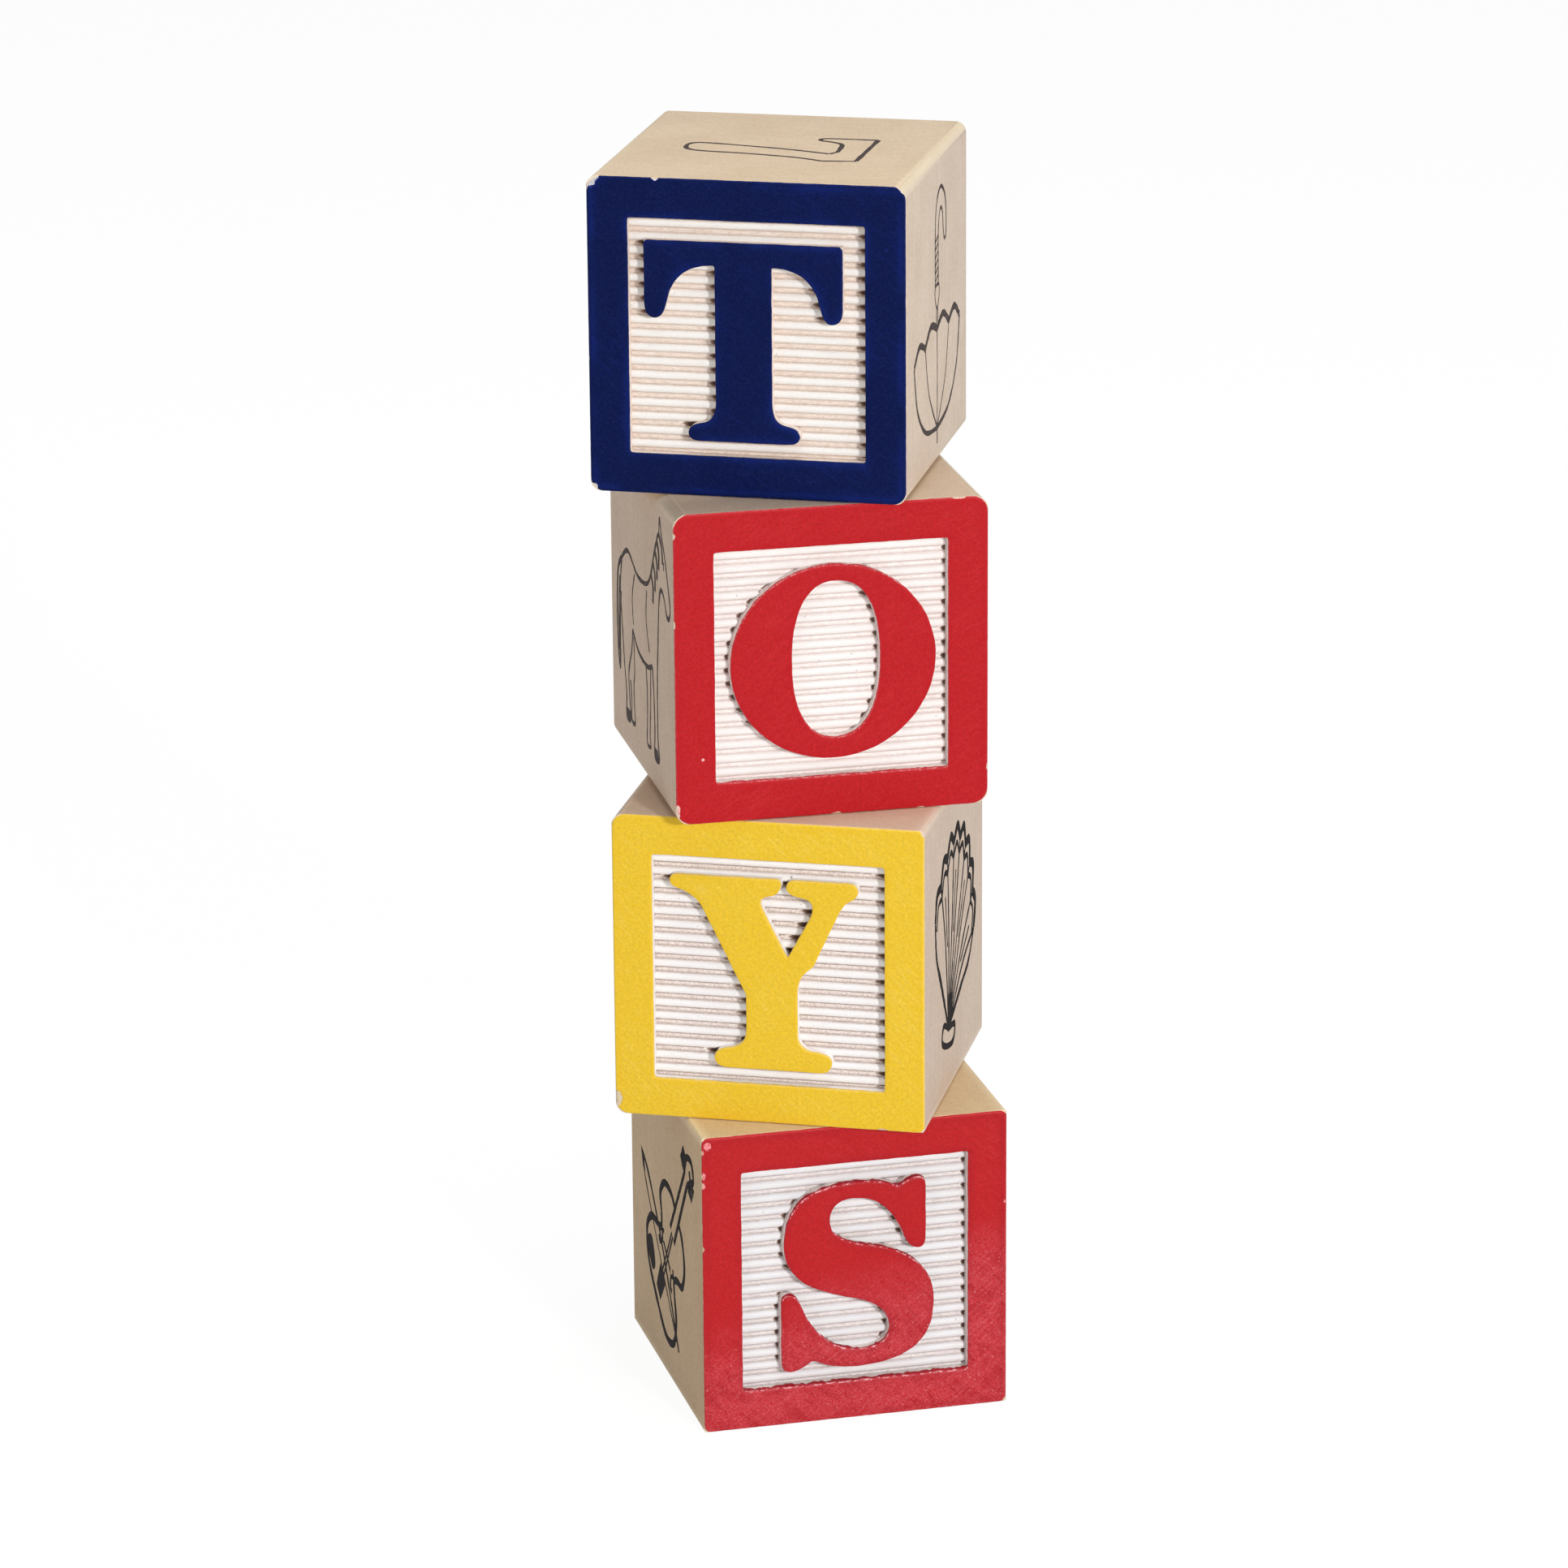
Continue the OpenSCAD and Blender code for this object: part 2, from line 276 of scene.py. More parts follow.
class Recipe(Graph):
    """A material with short calls for the patterns that the finishes use."""

    def __init__(self, name):
        self.material = bpy.data.materials.new(name)
        self.material.use_nodes = True
        super().__init__(self.material.node_tree)

    def blend(self, share, first, second, how="MIX"):
        """Two colours mixed, each of them a wire or a swatch's three numbers."""
        first, second = (tone if isinstance(tone, Wire) else swatch(*tone) for tone in (first, second))
        return self.add("ShaderNodeMix", {0: share, 6: first, 7: second}, 2, data_type="RGBA", blend_type=how)

    def stretched(self, where, size, turn=(0, 0, 0), shift=(0, 0, 0)):
        """Turned first and then divided by a size in mm, so that marks can run at a slant."""
        inputs = {"Vector": where, "Location": shift, "Rotation": turn, "Scale": size}
        return self.add("ShaderNodeMapping", inputs, vector_type="TEXTURE")

    def grain(self, where, size, detail=4.0, rough=0.55, warp=0.0, **lie):
        """A noise. Its size is in waves per mm, or as three numbers, the size of its marks in mm."""
        if isinstance(size, tuple):
            where, size = self.stretched(where, size, **lie), 1.0
        inputs = {"Vector": where, "Scale": size, "Detail": detail, "Roughness": rough, "Distortion": warp}
        return self.add("ShaderNodeTexNoise", inputs, "Fac")

    def spots(self, where, size):
        """How far a point is from the nearest of many scattered spots."""
        inputs = {"Vector": self.stretched(where, size), "Scale": 1.0}
        return self.add("ShaderNodeTexVoronoi", inputs, "Distance")

    def on_block(self, block):
        """Millimetres in the block's own frame: x across, y from front to back, z up from its foot."""
        here = self.add("ShaderNodeTexCoord", out="Object")
        return self.stretched(here, (MM, MM, MM), (0, 0, block.turn), block.middle)

    def axes(self, where):
        return list(self.wires("ShaderNodeSeparateXYZ", {0: where}).values())

    def both_ways(self, x, z, low, high):
        """A ramp outwards from the middle of a face, taken both across and up."""
        return self.ramp(abs(x), low, high) * self.ramp(abs(z - MIDDLE_UP), low, high)

    def rib_row(self, height):
        """0 on a rib's crest, 0.5 in the middle of the valley above it, and 1 on the next crest."""
        far_below = FIRST_RIB - RIB_PITCH * 20
        return self.maths("FRACT", (height - far_below) / RIB_PITCH)

    def normal(self, kind):
        return self.add("ShaderNodeNewGeometry", out=kind)

    def marked(self, name):
        return self.add("ShaderNodeAttribute", out="Fac", attribute_name=name)

    def bump(self, height, depth, strength):
        return self.add("ShaderNodeBump", {"Height": height, "Distance": depth * MM, "Strength": strength})

    def finish(self, **inputs):
        names = {name.replace("_", " "): value for name, value in inputs.items()}
        self.node("ShaderNodeOutputMaterial", {"Surface": self.add("ShaderNodeBsdfPrincipled", names)})
        return self.material


# %% [markdown]
# ## Light, air and floor
#
# The key lamp stands to the right and hardly higher than the camera: it leaves narrow brown shadows to
# the left of everything raised, and none under it. A broad lamp overhead keeps the top of the stack
# light, and the rest of the light comes from all round. More light could make the background white,
# but it would bleach the blocks. So only rays from the camera, and those that a gloss sends on, see a
# white world and a glowing floor.

# %% The lamps, each with its place, its size in metres and its watts
LOOK_AT = Vector((0, 0, 0.06))
LAMPS = {
    "key": (Vector((0.41, -0.87, 0.34)), 0.11, 5.4),
    "fill": (Vector((-0.55, -0.75, 0.25)), 0.6, 1.0),
    "overhead": (Vector((0.06, -0.06, 0.92)), 0.5, 2.9),
}
for name, (at, size, watts) in LAMPS.items():
    light = bpy.data.lights.new(name, "AREA")
    light.shape = "DISK"
    light.size = size
    light.energy = watts
    aim = (LOOK_AT - at).to_track_quat("-Z", "Y").to_matrix().to_4x4()
    put(name, light).matrix_world = Matrix.Translation(at) @ aim
print("lamps:", list(LAMPS))

# %% World and floor
AIR_LEVEL = 0.32
FLOOR_HALF = 1.5
FLOOR_GLOW = 0.92


def seen_rays(graph):
    """1 for rays from the camera and for those that a gloss or glass sends on, otherwise 0."""
    ray = graph.wires("ShaderNodeLightPath")
    seen = graph.maths("MAXIMUM", ray["Is Camera Ray"], ray["Is Glossy Ray"])
    return graph.maths("MAXIMUM", seen, ray["Is Transmission Ray"])


world = bpy.data.worlds.new("studio")
bpy.context.scene.world = world
world.use_nodes = True
air = Graph(world.node_tree)
level = air.ramp(seen_rays(air), 0, 1, AIR_LEVEL, 1)
white_air = air.add("ShaderNodeBackground", {"Color": (1, 1, 1, 1), "Strength": level})
air.node("ShaderNodeOutputWorld", {"Surface": white_air})

paper = Recipe("floor_paper")
plain = paper.add("ShaderNodeBsdfDiffuse", {"Color": (0.8, 0.8, 0.8, 1)})
shaded = paper.add("ShaderNodeBsdfDiffuse", {"Color": (0.12, 0.12, 0.12, 1)})
glow = paper.add("ShaderNodeEmission", {"Strength": FLOOR_GLOW})
bright = paper.add("ShaderNodeAddShader", {0: shaded, 1: glow})
both = paper.add("ShaderNodeMixShader", {0: seen_rays(paper), 1: plain, 2: bright})
paper.node("ShaderNodeOutputMaterial", {"Surface": both})

floor_corners = [(x * FLOOR_HALF, y * FLOOR_HALF, 0) for x, y in ((-1, -1), (1, -1), (1, 1), (-1, 1))]
floor = put("floor", mesh_of("floor", floor_corners, [(0, 1, 2, 3)]))
floor.data.materials.append(paper.material)
print("floor", FLOOR_HALF * 2, "m wide, air at", AIR_LEVEL)

# %% [markdown]
# ## Bare wood
#
# The cubes are a pale, close-grained hardwood with its fibres upright, so a side shows faint streaks
# and the top shows end grain. A picture of wood would be quick, but it would stretch at the corners.
# A solid pattern runs through the whole cube, so that streaks, end grain and the pressed ground all
# come from one piece of timber. Each block has its own graph, because each one is turned, and cut from
# other timber.

# %% Wood on the planed sides
RING_WIDTH = 1.9


def planed_wood(made, here, block, cut):
    """The colour of the outer sides, and two noises that the rest of the recipe goes on with."""
    x, y, z = made.axes(here)
    fibres = made.grain(here, (0.5, 0.5, 8), 6, 0.62, shift=(block.seed * 3, 0, 0))
    fleck = made.grain(here, (0.26, 0.26, 0.42), 4, 0.75)
    dust = made.grain(here, 6.5, 2, 0.5)
    cloud = made.grain(here, 0.11 + 0.01 * block.seed, 3)
    drift = made.grain(here, (6, 6, 33), 2)
    from_pith = made.vector(x + drift * 7.0 - cut.pith[0], y - cut.pith[1])
    away = made.vectors("LENGTH", from_pith, out="Value")
    late_wood = made.ramp(made.maths("SINE", away * (2 * math.pi / RING_WIDTH)), 0.2, 1.0, 0.0, 0.05)
    facing = made.axes(made.normal("True Normal"))[2]
    body = made.blend(made.ramp(abs(facing), 0.4, 0.8), cut.side, cut.end)
    tone = made.ramp(fibres, 0.3, 0.7, 0.0, 0.09) + made.ramp(cloud, 0.3, 0.7, 0.0, 0.20)
    tone = tone + (late_wood + made.ramp(fleck, 0.38, 0.72, 0.0, 0.30))
    tone = tone + made.ramp(dust, 0.35, 0.70, 0.0, 0.24)
    colour = made.blend(tone, body, (214, 206, 196), "MULTIPLY")
    pores = made.spots(here, (0.6, 0.6, 2.0))
    colour = made.blend(made.ramp(pores, 0.02, 0.09, 0.16, 0.0), colour, (120, 92, 66))
    # The rounded long edges are lighter: real wear and a painted highlight together.
    worn_and_highlight = made.both_ways(x, z, 13.7, 14.9) * made.ramp(cloud, 0.3, 0.7, 0.35, 0.85)
    colour = made.blend(worn_and_highlight, colour, cut.worn)
    # Painted shadow: the top darkens towards the front, where the block above stands on it.
    under_block_above = made.ramp(y + cloud * 5, -3.0, -9.5) * made.ramp(x, 9.0, 1.0)
    colour = made.blend(made.ramp(facing, 0.4, 0.8, 0.0, cut.grime) * under_block_above, colour, (70, 60, 66))
    return colour, fibres, fleck


# %% [markdown]
# In the pressed recess the wood looks different: the press tore the fibres of the walls, and thin white
# paint has soaked into the valleys between the ribs. Shade is painted there too: low on the walls that
# face left, and as a line at the foot of each rib. A second material could hold that, but its border
# would need faces of its own. The same material can tell by place: only the recess lies within the
# frame's opening and below the painted face.

# %% Wood in the pressed recess
PAINTED_Y = 15.0
GROUND_HALF = 11.2


def pressed_walls(made, here, block, cut, depth):
    """Torn fibres, specks of soil, and painted shade low on the walls that face left."""
    torn = made.grain(here, (0.3, 0.3, 0.5), 5, 0.7)
    crumb = made.grain(here, (0.15, 0.15, 0.15), 3, 0.7)
    colour = made.blend(made.ramp(torn, 0.38, 0.68), *cut.walls)
    colour = made.blend(made.ramp(crumb, 0.61, 0.67, 0.0, cut.specks), colour, (112, 84, 74))
    # Painted shade: walls that face left turn brown towards their foot.
    left = (-math.cos(block.turn), -math.sin(block.turn), 0)
    leftwards = made.vectors("DOT_PRODUCT", made.normal("True Normal"), left, "Value")
    painted_wall_shade = made.ramp(leftwards, 0.2, 0.9) * made.ramp(depth, 0.7, 1.55, 0.0, 0.65)
    return made.blend(painted_wall_shade, colour, (92, 70, 60))


def soaked_ground(made, here, z, cut):
    """The valleys between the ribs, with a line of painted shade at each rib's foot."""
    wander = (made.grain(here, (0.9, 1, 0.2), 4, 0.7) - 0.5) * 0.1
    row = made.rib_row(z) + wander
    # Painted shade: a dark line under each rib and a faint one above it.
    lower_foot_shade = made.ramp(abs(row - 0.645), 0.01, 0.10, 0.9, 0.0)
    upper_foot_shade = made.ramp(abs(row - 0.355), 0.01, 0.08, 0.35, 0.0)
    dry = made.grain(here, (cut.streak, 0.33, 0.14), 5, 0.7)
    light, dark, foot = cut.valley
    soaked = made.blend(made.ramp(dry, 0.38, 0.66), light, dark)
    return made.blend(made.maths("MAXIMUM", lower_foot_shade, upper_foot_shade), soaked, foot)


def wood(block, cut):
    made = Recipe(f"wood_{block.key}")
    here = made.on_block(block)
    x, y, z = made.axes(here)
    depth = PAINTED_Y - abs(y)
    colour, fibres, fleck = planed_wood(made, here, block, cut)
    inside = made.both_ways(x, z, GROUND_HALF + 0.1, GROUND_HALF)
    wall = inside * made.ramp(depth, 0.05, 0.2)
    colour = made.blend(wall * 0.92, colour, pressed_walls(made, here, block, cut, depth))
    colour = made.blend(inside * made.ramp(depth, 1.0, 1.3), colour, soaked_ground(made, here, z, cut))
    return made.finish(Base_Color=colour, Roughness=made.ramp(fleck, 0.3, 0.7, 0.58, 0.74),
                       Normal=made.bump(fibres + fleck * 0.8, 0.012, 0.5), Specular_IOR_Level=0.3)


# %% [markdown]
# One timber is paler, another one pinker, and O's top has the darkest painted shadow where the block
# above stands on it. Four recipes would drift apart as they are changed, so there is one recipe, and a
# table says how each block differs. The tones are those of planed sides, end grain and worn corners
# with a painted highlight, then light and dark recess walls, and last the light and dark of a valley
# and the painted shade line at a rib's foot.

# %% The four timbers
Cut = SimpleNamespace
CUTS = {
    "t": Cut(side=(235, 216, 198), end=(236, 214, 184), worn=(244, 230, 200), pith=(8, 31),
             walls=((248, 238, 231), (232, 212, 196)), grime=0.0, streak=0.5, specks=0.08,
             valley=((242, 230, 221), (222, 203, 188), (214, 194, 178))),
    "o": Cut(side=(224, 201, 180), end=(216, 194, 170), worn=(238, 222, 196), pith=(-26, 13),
             walls=((254, 246, 242), (226, 204, 198)), grime=0.46, streak=0.5, specks=0.10,
             valley=((250, 244, 241), (236, 224, 219), (206, 186, 181))),
    "y": Cut(side=(226, 206, 189), end=(220, 194, 170), worn=(234, 216, 196), pith=(5, -33),
             walls=((255, 255, 255), (255, 251, 248)), grime=0.06, streak=0.17, specks=0.5,
             valley=((248, 240, 235), (214, 196, 188), (162, 137, 128))),
    "s": Cut(side=(211, 184, 149), end=(228, 200, 158), worn=(240, 224, 188), pith=(29, 8),
             walls=((248, 240, 237), (222, 200, 195)), grime=0.06, streak=0.4, specks=0.15,
             valley=((240, 235, 233), (218, 208, 205), (178, 162, 157))),
}
WOODS = {key: wood(blocks[key], cut) for key, cut in CUTS.items()}
print("woods:", [material.name for material in WOODS.values()])

# %% [markdown]
# ## Enamel
#
# The frame and the letter were coated by a roller that only touches what stands proud. A roller leaves
# slanting drags and a faint stipple, and its paint gathers along edges. The colour could be one flat
# value with a bump, but on the real blocks it varies too: thin paint is paler. So the drags drive
# colour, gloss and bump alike. Where a face was handled much, as on S, the paint is dull and hatched
# as well, and that is a function of its own, which the other three leave out.

# %% Enamel rubbed by hands
def rubbed_enamel(made, here, paint, colour, cloud, x, z, lie):
    """Dull patches, hatching and fine sparkles on the lower part of a face."""
    low = made.ramp(z + cloud * 7 - x * 0.34, 19.8, 12.0)
    slant = lie["turn"]
    patch = made.grain(here, (2.2, 1.6, 0.9), 4, 0.6, 0.6, **lie)
    speckle = made.grain(here, (0.30, 0.3, 0.17), 5, 0.8, turn=slant)
    sparkle = made.grain(here, (0.34, 0.3, 0.22), 4, 0.7, turn=slant)
    hatch = made.grain(here, (3.0, 2.0, 0.12), 2, 0.5, turn=(0, math.radians(-38), 0))
    rubbed = low * made.ramp(speckle, 0.38, 0.64)
    colour = made.blend(low * made.ramp(patch, 0.35, 0.58, 0.40, 0.0), colour, paint.rim)
    colour = made.blend(rubbed * made.ramp(patch, 0.32, 0.60, 0.25, 0.75), colour, paint.worn)
    colour = made.blend(low * made.ramp(hatch, 0.50, 0.66, 0.0, 0.30), colour, paint.worn)
    return made.blend(low * made.ramp(sparkle, 0.60, 0.69, 0.0, 0.6), colour, paint.shining)


# %% [markdown]
# Edges and chips can't be told from a point's place alone, because they follow the coat's outline. Two
# values come with the mesh for them: how near a point is to the coat's rim, and how far the paint has
# come off there. How far the paint has run down a wall is again a matter of depth.

# %% The edges and the chips of a coat
def rolled_edges(made, here, paint, colour, cloud, stipple, below, x, z):
    """The rim's tone, a painted highlight just under the face, and painted glints where a rim faces up."""
    # On T the rim tone is lighter, a painted highlight; on the others it is darker, gathered paint.
    near_rim = made.marked("rim") * made.ramp(cloud, 0.35, 0.65, *paint.edge)
    colour = made.blend(near_rim, colour, paint.rim)
    # Painted highlight on the rounded edge just under the face.
    lip = made.ramp(below, 0.012, 0.07) * made.ramp(stipple, 0.36, 0.60, 0.10, 0.7)
    colour = made.blend(lip, colour, paint.lip)
    colour = made.blend(made.ramp(below, 0.10, 0.26, 0.0, paint.run_dark), colour, paint.rim)
    # Painted glints in spots along the rims that face up.
    upwards = made.ramp(made.axes(made.normal("Normal"))[2], 0.15, 0.5)
    edge_light = upwards * made.ramp(below, 0.26, 0.12) * made.ramp(below, 0.02, 0.06)
    edge_light = edge_light * made.both_ways(x, z, 12.2, 11.9)
    glint_spots = made.ramp(made.grain(here, (0.5, 0.5, 0.3), 4, 0.7), 0.49, 0.60)
    return made.blend(edge_light * (glint_spots * paint.shine), colour, paint.shining)


def chipped(made, paint, colour, stipple, specks):
    """The colour with its chips, and how bare each point is."""
    chip = made.marked("bare")
    frayed = chip + (stipple + specks - 1.0) * 0.3
    known = made.ramp(chip, 0.0, 0.08)
    colour = made.blend(made.ramp(frayed, 0.18, 0.34, 0.0, 0.7) * known, colour, paint.rim)
    bare = made.ramp(frayed, 0.36, 0.46) * known
    under = made.blend(made.ramp(specks, 0.40, 0.62), paint.under, paint.stain)
    return made.blend(bare, colour, under), bare


# %% The enamel recipe
def enamel(block, paint):
    made = Recipe(f"enamel_{block.key}")
    here = made.on_block(block)
    x, y, z = made.axes(here)
    below = PAINTED_Y - abs(y)
    lie = {"turn": (0, math.radians(paint.drag_turn), 0), "shift": (block.seed * 11, 0, block.seed * 5)}
    drags = made.grain(here, (1.7, 1.6, 0.3), 5, 0.62, 0.4, **lie)
    stipple = made.grain(here, 3.2, 5, 0.68)
    cloud = made.grain(made.stretched(here, (1, 1, 1), shift=lie["shift"]), 0.16, 3)
    specks = made.grain(here, 7.5, 3, 0.6)
    thin = made.ramp(drags, 0.42, 0.74) * made.ramp(cloud, 0.38, 0.66, 0.15, 1.0)
    colour = made.blend(thin * paint.thin_share, paint.body, paint.thin)
    colour = made.blend(made.ramp(stipple, 0.30, 0.70, 0.0, paint.mottle), colour, (0, 0, 0))
    colour = made.blend(made.ramp(specks, 0.42, 0.74, 0.0, paint.mottle), colour, paint.glint)
    if paint.worn:
        colour = rubbed_enamel(made, here, paint, colour, cloud, x, z, lie)
    colour = rolled_edges(made, here, paint, colour, cloud, stipple, below, x, z)
    colour, bare = chipped(made, paint, colour, stipple, specks)
    sheen = made.ramp(drags, 0.3, 0.7, 0.38, 0.52) + bare * 0.25
    sheen = sheen - made.ramp(below, 0.01, 0.05, 0.0, paint.lip_gloss)
    skin = drags * paint.drag_depth + stipple * 0.9
    return made.finish(Base_Color=colour, Roughness=sheen, Normal=made.bump(skin, 0.035, 0.6),
                       Specular_IOR_Level=paint.gloss)


# %% [markdown]
# The two reds were rolled on different days: S is glossier, darker at its edges, and rubbed. So each
# block has its own paint, and none borrows another's. The tones are those of full and thin paint, then
# rim and lip along the edges, where T's lighter rim and every lip are painted highlights, then under and
# stain inside a chip, and glint and shining for the smallest specks of light.

# %% The four enamels
Paint = SimpleNamespace
PAINTS = {
    "t": Paint(body=(6, 20, 69), thin=(16, 30, 98), rim=(18, 40, 122), lip=(30, 46, 112),
               under=(214, 214, 218), stain=(192, 188, 190), glint=(46, 58, 112), shining=(120, 130, 180),
               worn=None, mottle=0.19, edge=(0.0, 0.4), gloss=0.05, lip_gloss=0.05, run_dark=0.0, shine=0.05,
               drag_turn=38, thin_share=0.5, drag_depth=0.4),
    "o": Paint(body=(190, 23, 31), thin=(203, 42, 48), rim=(178, 14, 26), lip=(212, 82, 90),
               under=(246, 216, 206), stain=(222, 120, 124), glint=(212, 70, 74), shining=(240, 176, 172),
               worn=None, mottle=0.20, edge=(0.1, 0.4), gloss=0.12, lip_gloss=0.12, run_dark=0.3, shine=0.5,
               drag_turn=-34, thin_share=0.6, drag_depth=0.7),
    "y": Paint(body=(242, 199, 43), thin=(248, 212, 84), rim=(234, 188, 34), lip=(246, 214, 112),
               under=(232, 220, 192), stain=(206, 182, 142), glint=(252, 228, 140), shining=(255, 240, 190),
               worn=None, mottle=0.16, edge=(0.1, 0.4), gloss=0.14, lip_gloss=0.05, run_dark=0.2, shine=0.2,
               drag_turn=42, thin_share=0.6, drag_depth=2.6),
    "s": Paint(body=(190, 20, 26), thin=(201, 38, 44), rim=(150, 8, 26), lip=(194, 36, 54),
               under=(244, 168, 170), stain=(220, 66, 76), glint=(214, 66, 72), shining=(246, 184, 190),
               worn=(210, 84, 94), mottle=0.21, edge=(0.1, 0.4), gloss=0.20, lip_gloss=0.24, run_dark=0.8,
               shine=0.9, drag_turn=40, thin_share=0.6, drag_depth=1.1),
}
ENAMELS = {key: enamel(blocks[key], paint) for key, paint in PAINTS.items()}
print("enamels:", [material.name for material in ENAMELS.values()])

# %% [markdown]
# ## The white coat on the ribs
#
# A second roller left white on the crests of the ribs only. The paint is thin, so it fades towards the
# foot of each rib, where pinkish wood shows through. One white all over would hide that. Depth tells
# how high on a rib a point is, and a noise stretched along the ribs makes the border ragged. The lower
# flank of each rib gets a band of painted shade. Near a wall on its right the coat is darkened by a
# painted shadow, and how near that is comes with the mesh.

# %% The white coat's recipe
GROUND_Y = 13.4


def rib_coat(block, cover, white_paint, tint, flank_shade, speckle):
    made = Recipe(f"rib_coat_{block.key}")
    here = made.on_block(block)
    x, y, z = made.axes(here)
    ragged = made.grain(here, (0.8, 0.5, 0.4), 5, 0.7, shift=(0, 0, block.seed * 9))
    dust = made.grain(here, 5.0, 4, 0.65)
    cloud = made.grain(here, 0.2, 2)
    thickness = abs(y) - GROUND_Y + (ragged - 0.5) * 0.3
    covered = made.ramp(thickness, 0.20 - cover, 0.36 - cover, 0.2, 1.0)
    white = made.blend(made.ramp(dust, 0.35, 0.75, 0.0, 0.35), white_paint, (232, 227, 221))
    white = made.blend(made.ramp(cloud, 0.4, 0.7, 0.0, 0.25), white, tint)
    stained = made.blend(made.ramp(dust, 0.3, 0.7), tint, (206, 176, 160))
    colour = made.blend(covered, stained, white)
    row = made.rib_row(z) + (ragged - 0.5) * 0.16
    # Painted shade: a band on the lower flank of each rib, broken up by a noise.
    flank_shade_band = made.ramp(row, 0.52, 0.60) * made.ramp(row, 0.72, 0.84, 1.0, 0.0)
    shade_patchiness = made.ramp(dust + speckle, 0.40, 0.66, 0.15, 0.9)
    colour = made.blend(flank_shade_band * shade_patchiness, colour, flank_shade)
    # Painted shadow: the coat darkens near a wall on its right, most away from the crests.
    near = made.marked("near")
    shadow_near_wall = near - 0.85 + made.maths("PINGPONG", row, 0.5) * 2.2 + (ragged - 0.5) * 0.5
    shadow_near_wall = made.ramp(shadow_near_wall, 0.0, 0.5, 0.0, 0.9) * made.ramp(near, 0.15, 0.5)
    colour = made.blend(shadow_near_wall, colour, (98, 78, 66))
    flies = made.spots(here, (1.8, 1.8, 1.8))
    colour = made.blend(made.ramp(flies, 0.03, 0.07, 0.3, 0.0), colour, (96, 74, 62))
    return made.finish(Base_Color=colour, Roughness=0.62, Normal=made.bump(dust, 0.02, 0.5),
                       Specular_IOR_Level=0.3)


COATS = {
    "t": rib_coat(blocks["t"], 0.02, (247, 243, 238), (240, 226, 215), (232, 216, 204), 0.05),
    "o": rib_coat(blocks["o"], 0.20, (247, 243, 240), (246, 238, 234), (230, 217, 213), 0.0),
    "y": rib_coat(blocks["y"], 0.04, (247, 245, 246), (240, 228, 224), (212, 195, 187), 0.06),
    "s": rib_coat(blocks["s"], 0.17, (236, 236, 238), (234, 229, 227), (208, 200, 200), 0.03),
}
print("white coats:", [material.name for material in COATS.values()])

# %% [markdown]
# The drawings are stamped in ink, a plain dark tone that has worn thin in patches. It lies so thin on
# the wood that a bump would show nothing, so the recipe has only a colour and a matt sheen.

# %% Ink
def ink_recipe(name, strong, weak):
    made = Recipe(name)
    here = made.add("ShaderNodeTexCoord", out="Object")
    patchy = made.grain(here, (0.4 * MM, 0.4 * MM, 0.4 * MM), 4, 0.7)
    return made.finish(Base_Color=made.blend(made.ramp(patchy, 0.38, 0.72), strong, weak),
                       Roughness=made.ramp(patchy, 0.3, 0.7, 0.65, 0.8), Specular_IOR_Level=0.06)


GREY_INK = ink_recipe("grey_ink", (60, 53, 54), (108, 95, 88))
BLACK_INK = ink_recipe("black_ink", (16, 12, 13), (42, 34, 34))
print("inks:", GREY_INK.name, BLACK_INK.name)

# %% [markdown]
# ## Rim lines
#
# To build a coat with a rolled edge, its outline is needed as a line. The model has it already: the
# border of each enamel sheet's outer face. The loose triangles are merged, the border edges are put in
# order, and the line is sampled evenly, so that a small wander and a rounded rim can be added to it.
# Drawing the letters again by hand would be another way, but then two outlines would have to agree.

# %% Reading a coat's outline
WELD = 1e-7
FLAT = 0.9


def merged(node, place=None):
    """A CAD node as one joined mesh, in the given place's own frame."""
    solid = bmesh.new()
    solid.from_mesh(frame["nodes"][node].data)
    bmesh.ops.remove_doubles(solid, verts=solid.verts, dist=WELD)
    if place is not None:
        solid.transform(place.inverted())
        solid.normal_update()
    return solid


def rim_lines(block, side, part):
    """Closed lines of [across, up] in mm, the widest first, with the paint always on their left."""
    solid = merged(f"{block.key}_{side}_{part}_enamel", block.face(side))
    after = {}
    for face in solid.faces:
        if face.normal.y > -FLAT:
            continue
        for loop in face.loops:
            if all(other.normal.y > -FLAT for other in loop.edge.link_faces if other is not face):
                after[loop.vert] = loop.link_loop_next.vert
    lines = []
    while after:
        line, vert = [], next(iter(after))
        while vert in after:
            line.append((vert.co.x, vert.co.z))
            vert = after.pop(vert)
        lines.append(np.array(line))
    solid.free()
    return sorted(lines, key=lambda points: -np.ptp(points[:, 0]))


for block in blocks.values():
    print(block.key, "letter rims", [len(line) for line in rim_lines(block, "front", "letter")])

# %% Lines that can be bent
CORNER = math.radians(30)
RIM_STEP = 0.22


